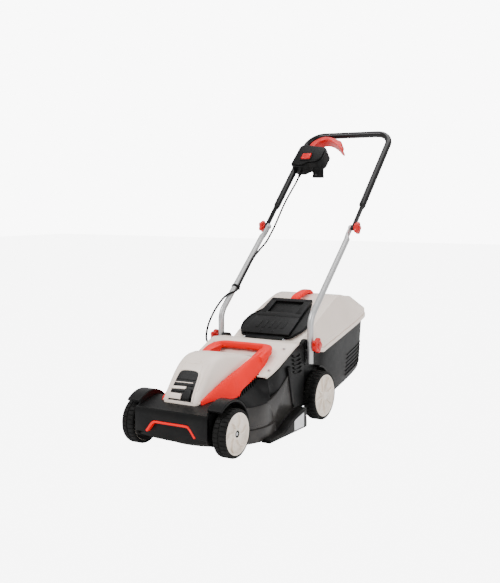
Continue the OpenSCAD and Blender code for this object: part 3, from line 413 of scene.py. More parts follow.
def tread_rubber():
    f = Finish("tyre_rubber", "tyre_rubber", Specular_IOR_Level=0.16)
    wear = f.span(f.noise(38.0, 6.0, 0.7), 0.4, 0.7)
    pores = f.cells(900.0)
    colour = f.blend(wear, (0.002, 0.002, 0.002), (0.007, 0.0066, 0.0062))
    colour = f.blend(f.span(f.noise(160.0, 4.0, 0.7), 0.58, 0.75) * 0.5, colour, (0.03, 0.028, 0.025))
    return f.feed(Base_Color=colour, Roughness=(0.62 + wear * 0.2).clamped(),
                  Normal=f.bump(pores * 0.5 + f.noise(220.0, 4.0), 0.35, 0.0006))


def foil():
    f = Finish("label_foil", "label_foil", Metallic=0.2)
    edge = f.span(f.noise(60.0, 3.0), 0.3, 0.7)
    colour = f.blend(edge, (0.62, 0.63, 0.65), (0.78, 0.78, 0.79))
    return f.feed(Base_Color=colour, Roughness=(0.3 + edge * 0.12).clamped(),
                  Normal=f.bump(f.noise(300.0), 0.1, 0.0002))


BEIGE = moulded("beige_plastic", "beige_plastic", (0.76, 0.645, 0.56), (0.82, 0.71, 0.625), 0.38,
                1500.0, 0.05, dusty=0.2,
                Coat_Weight=0.15, Coat_Roughness=0.2)
RED = moulded("red_plastic", "red_plastic", (0.78, 0.002, 0.002), (0.88, 0.003, 0.003), 0.4, 1600.0,
              0.05, dusty=0.0,
              Coat_Weight=0.0, Specular_IOR_Level=0.14)
DECK = moulded("deck_plastic", "deck_plastic", (0.0018, 0.0018, 0.002), (0.0034, 0.0034, 0.0036), 0.4,
               1100.0, 0.2,
               dusty=0.02, Specular_IOR_Level=0.12)
DEEP_RED = moulded("deep_red_plastic", "red_plastic", (0.50, 0.002, 0.003), (0.60, 0.004, 0.005), 0.32,
                   1600.0, 0.05,
                   Coat_Weight=0.1, Specular_IOR_Level=0.25)
# Same deck plastic and slot with a lighter base colour: painted sheen, standing in for the grey highlight
# on the bowl wall
PAINTED_SHEEN_DECK = moulded("deck_painted_sheen", "deck_plastic", (0.012, 0.0108, 0.010), (0.019, 0.017, 0.016), 0.34,
                1000.0, 0.14,
                dusty=0.06, Specular_IOR_Level=0.38)
BLACK = moulded("black_plastic", "black_plastic", (0.0012, 0.0012, 0.0014), (0.0022, 0.0022, 0.0024),
                0.38, 1400.0, 0.14,
                dusty=0.01, Specular_IOR_Level=0.12)
OFF_WHITE = moulded("rim_plastic", "rim_plastic", (0.80, 0.70, 0.60), (0.88, 0.79, 0.69), 0.36, 1500.0,
                    0.06,
                    dust=(0.22, 0.19, 0.14), dusty=0.45, Coat_Weight=0.15)
CABLE = moulded("cable_rubber", "cable_rubber", (0.002, 0.002, 0.002), (0.004, 0.004, 0.004), 0.5,
                900.0, 0.2, Specular_IOR_Level=0.12)
TUBE = metal("tube_silver", "tube_silver", (0.42, 0.42, 0.42), (0.56, 0.56, 0.56), 0.34,
             (1.0, 1.0, 1.0), 0.08, 0.75)
GLOSS = metal("black_paint", "black_paint", (0.002, 0.002, 0.0022), (0.004, 0.004, 0.0042), 0.24,
              (1.0, 1.0, 1.0), 0.03, 0.0,
              Coat_Weight=0.12, Coat_Roughness=0.08, Specular_IOR_Level=0.2)
STEEL = metal("bright_steel", "bright_steel", (0.42, 0.42, 0.44), (0.62, 0.62, 0.64), 0.28,
              (1.0, 0.12, 1.0), 0.12)
BLADE = metal("blade_steel", "blade_steel", (0.10, 0.10, 0.11), (0.24, 0.24, 0.26), 0.34,
              (0.08, 1.0, 1.0), 0.2)
MOTOR = metal("motor_metal", "motor_metal", (0.34, 0.34, 0.36), (0.5, 0.5, 0.52), 0.42, (1.0, 1.0, 1.0),
              0.25)
TREAD = tread_rubber()
FOIL = foil()

# ---------------------------------------------------------------- wheels


def tyre(r):
    """Tyre about z with two staggered rows of tread blocks and a ring on its wall."""
    core, w = r * RIM_SHARE, TYRE_W / 2
    half = [(core, w - 0.6), (core + 1.2, w), (core + 2.6, w - 0.2), (core + 3.2, w - 1.1),
            (core + 4.2, w - 1.1),
            (r - 3.6, w - 0.7), (r - 1.8, w - 2.2), (r - 0.6, w - 4.6), (r, w - 7.5), (r, w - 12),
            (r, 2.4), (r - 2.4, 1.8)]
    bm = lathe([(a, h) for a, h in half] + [(a, -h) for a, h in reversed(half)], 192)
    pitch = 2 * pi / 32
    for v in bm.verts:
        out = Vector((v.co.x, v.co.y, 0))
        if out.length > r - 2 and abs(v.co.z) > 2:
            a = atan2(v.co.y, v.co.x) % pitch / pitch
            lag = (a + (0.5 if v.co.z > 0 else 0.0) + 0.02) % 1.0
            if lag < 0.12 or 0.9 < lag:
                v.co -= out.normalized() * 2.6
    return bm


def curved_rib(inner, outer, start, twist, low, high, half):
    path = []
    for k in range(9):
        t = k / 8
        a = start + twist * t * t
        rad = inner + (outer - inner) * t
        path.append((rad * cos(a), rad * sin(a), (low + high) / 2))
    return sweep(path, half, (high - low) / 2, (0, 0, 1), 5.0, 12)


def rim_shell(r, hub):
    rim = r * RIM_SHARE - 0.3
    return lathe([(5.1, -20), (14, -20), (14, 5), (20, 7), (rim - 6, 7), (rim - 5, -20), (rim, -20),
                  (rim, 20.6),
                  (rim - 0.8, 21.8), (rim - 3, 22), (rim - 4.6, 21), (rim - 6.4, 16.5), (rim - 9, 13.4),
                  (rim - 14, 12.6),
                  (hub + 6, 12.2), (hub + 2.4, 13.4), (hub + 0.8, 17.6), (hub - 0.6, 19.6),
                  (hub - 2.4, 20), (11.4, 20),
                  (10.2, 19.2), (10.2, 13), (5.1, 13)], 96)


def wheel(name, side, front):
    r = FRONT_R if front else REAR_R
    half_track = (FRONT_TRACK if front else REAR_TRACK) / 2
    body = ("front" if front else "rear") + "_wheel_" + name
    flip = LEFT if side < 0 else Matrix.Identity(4)
    place = flip @ shift(half_track, 0 if front else REAR_Y, r) @ ACROSS
    end = ("front_" if front else "rear_") + name
    piece("tyre_" + end + "_treaded", body, TREAD, moved(tyre(r), place), "tyre_" + end, crease=30)
    rim = r * RIM_SHARE - 0.3
    if front:
        ribs = [curved_rib(15.4, rim - 4.2, 2 * pi * k / 6 + 0.3, radians(30), 9, 19.4, 1.9)
                for k in range(6)]
        bush = lathe([(5.9, 12.6), (10.1, 12.6), (10.1, 19.6), (8.9, 19.6), (8.9, 13.4), (5.9, 13.4)],
                     48)
        piece("hub_bush_" + end, body, BLACK, moved(bush, place))
    else:
        ribs = [curved_rib(14.5, rim - 4.2, 2 * pi * k / 8 + 0.2, radians(0.01), 9, 18.8, 2.3)
                for k in range(8)]
        cap = lathe([(0, 20.6), (10.5, 20.6), (10.5, 19.9), (14.2, 20), (14.6, 21), (13.4, 23.2),
                     (9.5, 24.2), (8.8, 23.6),
                     (6.5, 23.7), (5.5, 24.5), (0, 24.9)], 64, closed=False)
        piece("cap_" + end, body, OFF_WHITE, moved(cap, place), "hub_cap_rear_" + name)
    liner = lathe([(6, -20.9), (rim - 0.4, -20.9), (rim - 0.4, -20.2), (6, -20.2)], 72)
    piece("liner_" + end, body, BLACK, moved(liner, place))
    piece("rim_" + end + "_ribbed", body, OFF_WHITE, moved(joined(rim_shell(r, 16), *ribs), place),
          "rim_" + end)


for side, name in ((-1, "left"), (1, "right")):
    wheel(name, side, True)
    wheel(name, side, False)

# ---------------------------------------------------------------- deck

BOWL_Y = 182
ROOF = [(30, 138), (95, 150), (215, 182), (386, 262), (436, 260)]


def along_line(points, at):
    for (a, p), (b, q) in zip(points, points[1:]):
        if (a <= at <= b) or (b <= at <= a):
            return p + (q - p) * (at - a) / (b - a)
    return points[0][1] if abs(at - points[0][0]) < abs(at - points[-1][0]) else points[-1][1]


bowl = lathe([(173.6, 12), (175, 13.4), (173.4, 48), (172.4, 51), (166.4, 52.6), (166.2, 58.6),
              (170.2, 60.4), (168.5, 75),
              (166.5, 92), (164, 108), (161.4, 116), (158, 118), (120, 118.6), (104, 146), (98, 148),
              (14, 148), (14, 144.5),
              (96, 144.5), (116, 115), (155, 114.6), (159.5, 105), (161.5, 58), (165.5, 50),
              (165.5, 12)],
             120, start=pi / 2 + radians(39), turn=2 * pi - radians(78))
cheek = slab_x([(188, 64), (188, 118), (222, 124), (254, 135), (288, 152), (322, 175), (340, 188),
                (350, 150), (362, 100),
                (366, 60), (300, 20), (240, 14), (200, 14)], 150, 161.6, 2.2, 3)
# bowl wall in the lighter copy of the deck plastic, a painted sheen
piece("bowl_wall", "chassis", PAINTED_SHEEN_DECK, joined(moved(bowl, shift(0, BOWL_Y, 0)), both_sides(cheek)),
      "deck_housing", crease=28)

# raised body over the chute, from the motor to the handle brackets
sections = []
for y in (30, 60, 95, 130, 165, 196, 204, 212, 222, 234, 250, 268, 290, 330, 362, 384, 400, 436):
    roof = along_line(ROOF, y)
    w = along_line([(0, 108), (198, 111), (222, 146), (268, 157), (440, 157)], y)
    foot = 118 if y < 226 else along_line([(226, 118), (262, 62), (440, 60)], y)
    edge_x = max(w, (162.5 ** 2 - (y - BOWL_Y) ** 2) ** 0.5) if y < 226 else w
    top_z = roof - 5
    right = [(edge_x, foot)]
    right += [(w + (edge_x - w) * (1 - t) + 3 * t * (1 - t), foot + (top_z - foot) * t)
              for t in (0.12, 0.4, 0.7, 1.0)]
    right += [(w - 4, roof - 1.2), (w - 10, roof), (w * 0.45, roof + 0.01)]
    sections.append([(x, y, z) for x, z in right] + [(-x, y, z) for x, z in reversed(right)])
flanks = skin(sections, closed=False, caps=False)
bmesh.ops.recalc_face_normals(flanks, faces=flanks.faces)
bmesh.ops.solidify(flanks, geom=flanks.faces[:], thickness=3.0)
front_wall = slab_y([(-107, 112), (107, 112), (107, 130), (100, 136), (-100, 136), (-107, 130)], 28, 33,
                    1)
rear_wall = slab_y([(-156, 188), (156, 188), (156, 252), (150, 258), (-150, 258), (-156, 252)], 432,
                   436, 1)

# step behind it with the chute
step_sides = slab_x([(430, 52), (536, 52), (536, 186), (484, 228), (430, 234)], 107, 145, 2.5, 5)
step_top = slab_x([(404, 226), (484, 221), (534, 180), (536, 186), (485, 228), (404, 237)], -110, 110,
                  1)
step_floor = slab_x([(350, 70), (536, 52), (536, 103), (440, 103), (350, 92)], -110, 110, 1.5)
wheel_arch = lathe([(91, -14), (97, -14), (97, 16), (91, 16)], 40, start=radians(96), turn=radians(104))
wheel_arch = moved(soften(wheel_arch, 1.2),
                   shift(149, REAR_Y, REAR_R) @ Matrix(((0, 0, 1, 0), (-1, 0, 0, 0), (0, 1, 0, 0),
                                                        (0, 0, 0, 1))))
comb = slab_x([(147, 8.4), (384, 8.4), (385, 20), (380, 70), (374, 73.6), (345, 67.6), (290, 49.6),
               (240, 25.6), (152, 19.5)],
              168, 197, 2.5, 4, 3)
comb_rib = sweep([(197.2, y, z) for y, z in ((158, 13.5), (236, 19), (288, 42), (344, 60), (372, 65))],
                 1.2, 1.6, (1, 0, 0), 3.0, 12)
fin = slab_x([(318, 200), (336, 206), (362, 72), (351, 72)], 155, 165, 1.8, 3)
vanes = []
for i in range(5):
    start, high = 366 - 2 * i, 178 + 13 * i
    vanes.append(sweep(spline([(159, start, high + 4), (160.4, start + 18, high - 4),
                               (160.4, start + 36, high - 5), (159, start + 52, high)], 4),
                       2.6, 2.6, (1, 0, 0), 3.0, 12))
deck_lip = sweep([(157.4, y, z) for y, z in ((236, 112), (262, 66), (290, 63), (340, 62), (420, 62))],
                 2.2, 3.2, (1, 0, 0), 4.0)
deck = joined(both_sides(joined(wheel_arch, comb, comb_rib, fin, deck_lip, step_sides, *vanes)), flanks,
              front_wall, rear_wall, step_top, step_floor)
piece("deck_body", "chassis", DECK, deck, crease=32)

# ---------------------------------------------------------------- bumper


def bumper_foot(x):
    """Height of the bumper's lower edge."""
    return along_line([(0, 94.5), (60.2, 94.5), (88, 59), (124, 57)], abs(x))


sections = []
for x in (-124, -123, -120, -104, -88, -81, -74, -67, -60.2, -52, -26, 0, 26, 52, 60.2, 67, 74, 81, 88,
          104, 120, 123, 124):
    b, inset = bumper_foot(x), 1.6 if abs(x) == 124 else 0.5 if abs(x) == 123 else 0.0
    front, ridge = -74 + inset, 128.6 - inset
    sections.append([(x, y, z) for y, z in (
        (-64, b + 1), (-65, b), (-71.5, b), (front + 0.6, b + 1.2), (front, b + 3), (front, 108),
                                            (front + 0.6, 117), (front + 2.6, 122.6),
        (front + 3.6, 126.2), (-68.6, ridge - 0.6), (-65.6, ridge), (-44, ridge + 6),
                                            (-20, ridge + 11.6), (4, ridge + 16.4), (22, ridge + 19),
        (22, 144), (-20, 136), (-60, 125), (-64, 120))])
bumper_skin = skin(sections)
sides = slab_x([(-70, 47), (-70, 121), (-20, 139), (20, 146), (22, 98), (14, 34), (-40, 33)], 119, 124,
               1.5, 5)
valance = slab_y([(-119, 46), (-60, 39), (0, 37), (60, 39), (119, 46), (119, 122), (-119, 122)], -60,
                 -56, 1)
hanger = slab_x([(-12, 58), (12, 58), (12, 132), (-12, 132)], 114.5, 120.5, 1.2, 5)
arch_guard = slab_x([(-66, 118), (-52, 150), (-24, 160), (6, 163), (40, 152), (66, 132), (64, 112),
                     (20, 100), (-30, 104)], 115, 120, 1.2, 3)
fender_profile = [(86.4, -23), (86.4, 19.5), (88, 22.4), (91, 22.6), (93.6, 20.4), (94, 17), (94, -23)]
fender = lathe(fender_profile, 44, start=radians(14), turn=radians(116))
fender = moved(fender, shift(140, 0, FRONT_R) @ FACE_X)
ridge_line = sweep([(x, -70.4, 126.6) for x in (-121, -60, 0, 60, 121)], 1.2, 1.6, (0, 0, 1), 3.0, 12)
bumper = joined(both_sides(joined(fender, sides, hanger, arch_guard)), bumper_skin, valance, ridge_line)
piece("bumper_shell", "chassis", DECK, bumper, "front_bumper", crease=32)

right = [(83.5, 61), (76, 70.5), (68.5, 80.5), (62.5, 87), (56, 90), (44, 90.6), (20, 90.6)]
trim = spline([(-x, -66.6, z) for x, z in right] + [(0, -66.6, 90.6)]
              + [(x, -66.6, z) for x, z in reversed(right)], 4)
piece("bumper_trim_red", "chassis", RED, sweep(trim, 3.7, 8.2, (0, 1, 0), 5.0, 24), "bumper_trim")

# ---------------------------------------------------------------- motor cover

COVER = [(-26, 147, 52, 142), (-18, 166, 60, 143), (12, 206, 64, 156), (40, 238, 67, 167),
         (72, 261, 69.3, 180), (108, 269, 73, 194),
         (160, 263, 77.6, 214), (205, 254, 81.7, 231), (236, 244, 84, 240)]
ACROSS_COVER = [(-1, -1), (-1, 0), (-0.99, 0.32), (-0.94, 0.64), (-0.83, 0.86), (-0.55, 0.97), (0, 1),
                (0.55, 0.97), (0.83, 0.86),
                (0.94, 0.64), (0.99, 0.32), (1, 0), (1, -1)]


def cover_section(y, crown, half, foot):
    points = [Vector((half * x, y, foot + (crown - foot) * z if z >= 0 else foot - 9)) for x,
              z in ACROSS_COVER]
    return [points[0]] + spline(points[1:-1], 5) + [points[-1]]


stations = [spline([(a, b, 0) for a, b in zip((s[0] for s in COVER), (s[k] for s in COVER))], 5)
            for k in (1, 2, 3)]
cover = skin([cover_section(c.x, c.y, h.y, f.y) for c, h, f in zip(*stations)])
cover_skin = BVHTree.FromBMesh(cover)
VENT = Matrix.Translation((0, -26, 148)) @ Matrix.Rotation(radians(57), 4, "X")


def draped(x, y, proud=0.0):
    """Point on the cover's front, a little above its skin."""
    start, down = VENT @ Vector((x, y, 80)), VENT.to_3x3() @ Vector((0, 0, -1))
    hit, normal, _, _ = cover_skin.ray_cast(start, down)
    if hit is None:
        hit, normal, _, _ = cover_skin.find_nearest(VENT @ Vector((x, y, 0)))
    return hit + normal * proud, normal


def vent_edge(grow):
    """Side, round top and side of the vent, open at the foot."""
    right = [(40 + grow, 0), (37 + grow, 46), (34.4 + grow, 78), (31.4 + grow * 0.8, 88 + grow * 0.6),
             (24 + grow * 0.5, 93.4 + grow),
             (11, 95.4 + grow)]
    line = right + [(0, 95.8 + grow)] + [(-x, y) for x, y in reversed(right)]
    return [Vector((p.x, p.y)) for p in spline([(x, y, 0) for x, y in line], 3)]


def on_top(x, y, proud=0.0):
    """Point on the cover straight above a place, and the way its skin faces there."""
    hit, normal, _, _ = cover_skin.ray_cast(Vector((x, y, 400)), Vector((0, 0, -1)))
    return hit + normal * proud, normal


def bead(points, half, high):
    return sweep([p[0] for p in points], half, high, [p[1] for p in points], 2.4, 12)


vent_lip = bead([draped(p.x, p.y, 0.4) for p in vent_edge(2.6)], 3.0, 2.6)
foot = both_sides(sweep([Vector((h.y + 0.3, h.x, f.y + 3)) for h,
                         f in list(zip(stations[1], stations[2]))[4:]], 1.4, 2.4, (1, 0, 0), 3.0, 12))
creases = both_sides(joined(
    bead([draped(x, y) for x, y in ((36, 98), (33, 112), (28, 128), (20, 150))], 1.4, 1.0),
    bead([on_top(x, y, 0.2) for x,
          y in ((47, -8), (47, 20), (46, 50), (47, 90), (51, 130), (58, 170), (66, 210), (70, 226))],
         3.0, 1.3)))
badge = bead([draped(x, 128, 0.2) for x in (-20, -10, 0, 10, 20)], 8.0, 1.1)
creases = joined(creases, badge)
piece("cover_shell", "chassis", BEIGE, joined(cover, vent_lip, foot, creases), "motor_cover", crease=45)

rings = []
centre = Vector((0, 43))
around = vent_edge(0.4) + [Vector((x, 0.4)) for x in (-28, -14, 0, 14, 28)]
for share in (1.0, 0.86, 0.7, 0.52, 0.34, 0.16, 0.02):
    rings.append([draped(*(centre + (p - centre) * share), 0.9)[0] for p in around])
vent_skin = skin(rings, caps=False)


def slat(low_x, high_x, y, tilt, half, high, proud):
    xs = [low_x + (high_x - low_x) * k / 6 for k in range(7)]
    points = [draped(x, y + (x - low_x) * tilt, proud) for x in xs]
    return sweep([p[0] for p in points], half, high, [p[1] for p in points], 4.5, 16)


column = slat(11, 33, 19, 0.0, 17.5, 2.6, 2.4)
dark_slats = [slat(-35, 8, 27.5, 0.02, 2.0, 1.8, 2.0), slat(-31, 31, 66, 0.0, 1.4, 1.2, 1.4),
              slat(-32, 30, 47, 0.02, 2.2, 1.8, 2.0)]
piece("vent_panel", "chassis", BLACK, joined(vent_skin, column, *dark_slats), "vent_grille", crease=40)
bars = [slat(-38, 3, 12, 0.0, 8.4, 2.6, 2.2), slat(-36, 10, 37, 0.05, 4.4, 2.2, 2.2),
        slat(-33, 27, 55, 0.02, 1.1, 1.6, 1.8)]
piece("vent_bars", "chassis", BEIGE, joined(*bars), crease=40)

# ---------------------------------------------------------------- red frame with the carry handle

BAND = [(-14, 62, 148.5, 66, 151, 71, 138), (30, 66, 168, 73, 172.5, 90, 126),
        (80, 71, 190, 80, 195, 109, 122),
        (100, 73, 197, 83, 202, 113, 127), (114, 74, 203, 84, 207.5, 115, 148),
        (129, 76, 208, 86, 213, 116, 164),
        (190, 81, 229, 93, 234, 115.4, 181), (240, 80, 243, 96, 248, 114, 195),
        (270, 78, 250, 97, 254, 112, 212),
        (296, 74, 255, 94, 258.4, 107, 228), (312, 72, 256, 88, 259, 99, 240)]
columns = [spline([(s[0], s[k], s[k + 1]) for s in BAND], 5) for k in (1, 3, 5)]
sections = []
for inner, crest, low in zip(*columns):
    y, fall, out = inner.x, crest.z - low.z, low.y - crest.y
    sections.append([(inner.y, y, inner.z), (inner.y + 2, y, inner.z + 1.6),
                     (crest.y - 4, y, crest.z - 0.7), (crest.y, y, crest.z),
                     (crest.y + 2.4, y, crest.z - 1.2), (crest.y + out * 0.42, y, crest.z - fall * 0.2),
                     (crest.y + out * 0.76, y, crest.z - fall * 0.5),
                     (low.y - 0.4, y, low.z + fall * 0.14), (low.y, y, low.z + 1.6),
                     (low.y - 1.4, y, low.z), (low.y - 5, y, low.z),
                     (inner.y + 5, y, min(inner.z, low.z) - 1)])
band = both_sides(skin(sections))
right = [(96, 250, 232), (98, 280, 243), (95.5, 306, 250.5), (84.5, 325, 255), (64, 331.5, 256.5),
         (30, 332, 256.5)]
path = spline(right + [(0, 333.5, 256.5)] + [(-x, y, z) for x, y, z in reversed(right)], 5)
bar = sweep(path, 15.5, 11.5, (0, 0.12, 1), 4.0, 28)
piece("carry_frame_red", "chassis", RED, joined(band, bar), "carry_frame", crease=34)

# ---------------------------------------------------------------- rear plate, louvres and brackets


def plate_height(y):
    return along_line([(206, 184), (376, 257.6), (384, 260.6), (392, 262), (442, 260.2)], y)


plan = [(62, 213), (147, 213), (156, 262), (157, 392), (136, 442), (84, 442), (75, 433), (0, 433)]
plan = rounded(plan + [(0, 308), (62, 308)], 3, 3)
plate = slab([(max(p.x, 0), p.y) for p in plan], 4, 0)
for y in (230, 260, 290, 320, 350, 370, 376, 384, 392):
    bmesh.ops.bisect_plane(plate, geom=plate.verts[:] + plate.edges[:] + plate.faces[:],
                           plane_co=(0, y, 0), plane_no=(0, 1, 0), dist=0.0001)
for v in plate.verts:
    v.co.z += plate_height(v.co.y)
plate = both_sides(plate)
plate_edge = [(144, 214), (148, 226), (152, 246), (154.6, 270), (155, 330), (155, 380), (155, 392),
              (146, 418), (137, 438)]
plate_rim = both_sides(sweep([(x, y, plate_height(y) + 0.6) for x, y in plate_edge],
                             3.6, 4.4, (0, 0, 1), 3.2, 16))
piece("rear_plate_beige", "chassis", BEIGE, joined(soften(plate, 1.1, 2, 55), plate_rim),
      "rear_cover_plate", crease=40)

louvre_panel = slab_x([(98, 118), (104, 146), (129, 166), (192, 184), (246, 198), (240, 166),
                       (190, 140), (128, 112)], 106, 114.5, 1.2, 3)
louvres = [moved(block((0, 0, 0), (4.6, 3.4, 27 - 0.9 * abs(k - 4)), 0.9),
                 shift(113.4, 112 + 11.2 * k, 126 + 4.9 * k)
                 @ Matrix.Rotation(radians(20), 4, "X")) for k in range(11)]
piece("side_louvre_panels", "chassis", BLACK, both_sides(joined(louvre_panel, *louvres)),
      "side_louvres", crease=40)

bracket = slab_x([(424, 216), (430, 262), (452, 274), (478, 268), (492, 236), (496, 196), (478, 187),
                  (448, 190)], 141.6, 155.6, 2.2, 7)
boss = moved(lathe([(4.2, 0), (15, 0), (16, 1), (16, 3), (15, 4), (4.2, 4)], 48),
             shift(154.6, PIVOT.y, PIVOT.z) @ ACROSS)
ribs = [slab_x([(432 + 14 * k, 206), (437 + 14 * k, 206), (437 + 14 * k, 234), (432 + 14 * k, 234)],
               154.5, 157.4, 0.8) for k in range(4)]
piece("bracket_pair", "chassis", BLACK, both_sides(joined(bracket, boss, *ribs)), "handle_brackets")

# ---------------------------------------------------------------- lower tubes

leg = [Vector((LEG_X, PIVOT.y, z)) for z in (195, 196, 240, 280, 311)]
leg += [Vector((LEG_X, PIVOT.y + BEND_R * (1 - cos(a)), BEND_Z + BEND_R * sin(a)))
        for a in (LEG_LEAN * k / 14 for k in range(15))]
run = [(s, LEG_R, LEG_R, 0.0, 2.0) for s in (30, 100, 200, 300, LEG_RUN - 58)]
run += [(LEG_RUN - 58 + 24 * t, 10 - 6 * (t * t * (3 - 2 * t)), 10 + t, -5 * (t * t * (3 - 2 * t)),
         2 + 2.5 * t) for t in (0.2, 0.4, 0.6, 0.8, 1.0)]
run += [(LEG_RUN - 10, 4, 11, -5, 4.5), (LEG_RUN, 4, 11, -5, 4.5)]
run += [(LEG_RUN + 11 * sin(a), 4, max(11 * cos(a), 1.2), -5, 4.5)
        for a in (0.3, 0.6, 0.9, 1.15, 1.35, 1.5)]
widths = [(LEG_R, LEG_R, 2.0)] * len(leg) + [(a, b, p) for _, a, b, _, p in run]
leg += [BEND_END + LEG_DIR * s + Vector((LEG_X + dx, 0, 0)) for s, _, _, dx, _ in run]
rings = []
for i, (p, (half_x, half_n, power)) in enumerate(zip(leg, widths)):
    t = travel(leg, i)
    t = Vector((0, t.y, t.z)).normalized()
    rings.append(section_at(p, Vector((1, 0, 0)), Vector((0, -t.z, t.y)), half_x, half_n, power, 28))
for side, name in ((1, "right"), (-1, "left")):
    tube = skin(rings)
    if side < 0:
        moved(tube, LEFT)
    piece("leg_" + name, "lower_handle", TUBE, tube, "lower_tube_" + name, crease=40)

# ---------------------------------------------------------------- upper bar

bar_x = 171.5
right = [(172.5, -10 * cos(a), 4, max(10 * sin(a), 1.0), 4.5) for a in (0.1, 0.3, 0.6, 0.9, 1.2, 1.5)]
right += [(172.5, s, 4, 10, 4.5) for s in (0, 30, 60, 94)]
right += [(172.5 - t, 94 + 18 * t, 4 + 8 * t * t * (3 - 2 * t), 10 + 2 * t, 4.5 - 2.5 * t)
          for t in (0.2, 0.4, 0.6, 0.8, 1.0)]
right += [(bar_x, s, BAR_R, BAR_R, 2.0) for s in (140, 200, 280, 360, BAR_RUN - BAR_CORNER)]
for k in range(1, 17):
    a = pi / 2 * k / 16
    right.append((bar_x - BAR_CORNER * (1 - cos(a)), BAR_RUN - BAR_CORNER + BAR_CORNER * sin(a), BAR_R,
                  BAR_R, 2.0))
right += [(x, BAR_RUN, BAR_R, BAR_R, 2.0) for x in (70, 30)]
whole = right + [(0, BAR_RUN, BAR_R, BAR_R, 2.0)]
whole += [(-x, s, a, b, p) for x, s, a, b, p in reversed(right)]
line = [Vector((x, 0, s)) for x, s, *_ in whole]
rings = []
for i, (x, s, half_in, half_n, power) in enumerate(whole):
    t = travel(line, i)
    if s < 94:
        t = Vector((0, 0, 1 if x > 0 else -1))
    rings.append(section_at(line[i], Vector((t.z, 0, -t.x)), Vector((0, 1, 0)),
                            half_in, half_n, power, 28))
piece("upper_bar_gloss", "upper_handle", GLOSS, moved(skin(rings), BAR_FRAME), "upper_bar", crease=40)

# ---------------------------------------------------------------- star knobs


def star(r, w, stem):
    top = stem + w
    profile = [(4.1, 0), (r * 0.42, 0), (r * 0.44, stem - 1), (r * 0.6, stem), (r - 3, stem + 0.2),
               (r - 0.8, stem + 1.6), (r, stem + 4),
               (r, top - 4.5), (r - 1, top - 1.8), (r - 3.4, top - 0.4), (r * 0.62, top),
               (r * 0.5, top - 1.2), (r * 0.42, top - 1),
               (r * 0.38, top + 1.8), (r * 0.3, top + 2.8), (0, top + 3), (0, top - 2), (4.1, top - 2)]
    bm = lathe(profile, 120)
    for v in bm.verts:
        out = Vector((v.co.x, v.co.y))
        if out.length > r * 0.58:
            wave = 0.885 + 0.115 * cos(5 * atan2(out.y, out.x))
            v.co.x *= wave
            v.co.y *= wave
    return bm


for side, name in ((1, "right"), (-1, "left")):
    for level, r, w, stem, at in (("lower", 25, 16, 6, (179.5, PIVOT.y, PIVOT.z)),
                                  ("upper", 22, 14, 5, (177.2, JOINT.y, JOINT.z))):
        knob = moved(star(r, w, stem), shift(*at) @ ACROSS @ Matrix.Rotation(0.3, 4, "Z"))
        if side < 0:
            moved(knob, LEFT)
        node = level + "_knob_" + name
        piece(node + "_star", node, DEEP_RED, knob, node, crease=40)

# ---------------------------------------------------------------- switch box, socket, lever and button

BOX_FOOT = 296
box_line = [(-184.5, 310), (-180.5, 412), (-166.5, 422), (-120, 412), (-68, 402), (-56, 386),
            (-56, 334), (-76, 314), (-112, 310),
            (-128, 296), (-160, 296)]


def shrunk(outline, by):
    middle = sum((Vector(p) for p in outline), Vector((0, 0))) / len(outline)
    return [Vector(p) - (Vector(p) - middle).normalized() * by for p in outline]


def lever_cut(outline):
    """The same outline with a round bay where the lever turns."""
    made = []
    for p in rounded(outline, 7, 4):
        if (p - Vector((-132, 404))).length > 19.5:
            made.append(p)
    first = next(i for i, p in enumerate(made) if p.x > -132 and p.y > 396)
    bay = [Vector((-132 + 19.2 * cos(a), 404 + 19.2 * sin(a)))
           for a in (radians(k) for k in range(142, 392, 14))]
    return made[:first] + bay + made[first:]


def bar_slab(outline, y0, y1, edge, segments=3):
    return moved(slab_y(outline, y0, y1, edge, 0, segments), BAR_FRAME)


face_line = rounded(box_line, 7, 5)
top = joined(bar_slab(face_line, -22, -18.8, 1.5), bar_slab(lever_cut(box_line), -19, 0, 0.5, 1),
             bar_slab(rounded(shrunk(box_line, 7), 7, 5), -28, -21, 3.0, 4))
button_guard = [(-150, 326), (-104, 326), (-104, 364), (-150, 364)]
ring = [Vector((p.x, -28.5, p.y)) for p in rounded(button_guard, 6, 5)]
top = joined(top, moved(sweep(ring, 2.2, 2.4, (0, -1, 0), 3.0, 12, loop=True), BAR_FRAME))
piece("switch_box_top", "upper_handle", BLACK, top, "switch_housing_top", crease=40)
low = joined(bar_slab(lever_cut(box_line), 0.3, 19, 0.5, 1), bar_slab(face_line, 18.8, 22, 1.5))
piece("switch_box_bottom", "upper_handle", BLACK, low, "switch_housing_bottom", crease=40)

hang = BAR_FRAME @ shift(-84, 4, 336) @ Matrix.Rotation(BAR_LEAN - pi, 4, "X")
cup = lathe([(0, 2), (21, 2), (21.6, 6), (21.8, 20), (20.6, 22), (20.6, 40), (22, 42), (22, 50),
             (21, 52), (18.6, 52), (18, 50), (18, 20), (0, 20)], 64)
rings = [moved(lathe([(20.4, 0), (21.9, 0.8), (21.9, 2.4), (20.4, 3.2)], 64), shift(0, 0, 24 + 5 * k))
         for k in range(3)]
piece("inlet_cup", "upper_handle", BLACK, moved(joined(cup, *rings), hang), "inlet_socket", crease=40)
pins = [moved(block((-1.2, -3, 18), (1.2, 3, 38), 0.6), shift(dx, 0, 0)) for dx in (-6.5, 6.5)]
piece("inlet_pins", "upper_handle", STEEL, moved(joined(*pins), hang), crease=40)

button = moved(joined(block((-145.4, -33, 330.6), (-108.6, -21, 359.4), 2.6, 4),
                      *[block((-140, -34, 336 + 6 * k), (-114, -32.6, 338.4 + 6 * k), 0.5)
                        for k in range(4)]), BAR_FRAME)
piece("button_ribbed", "start_button", DEEP_RED, button, "start_button", crease=40)

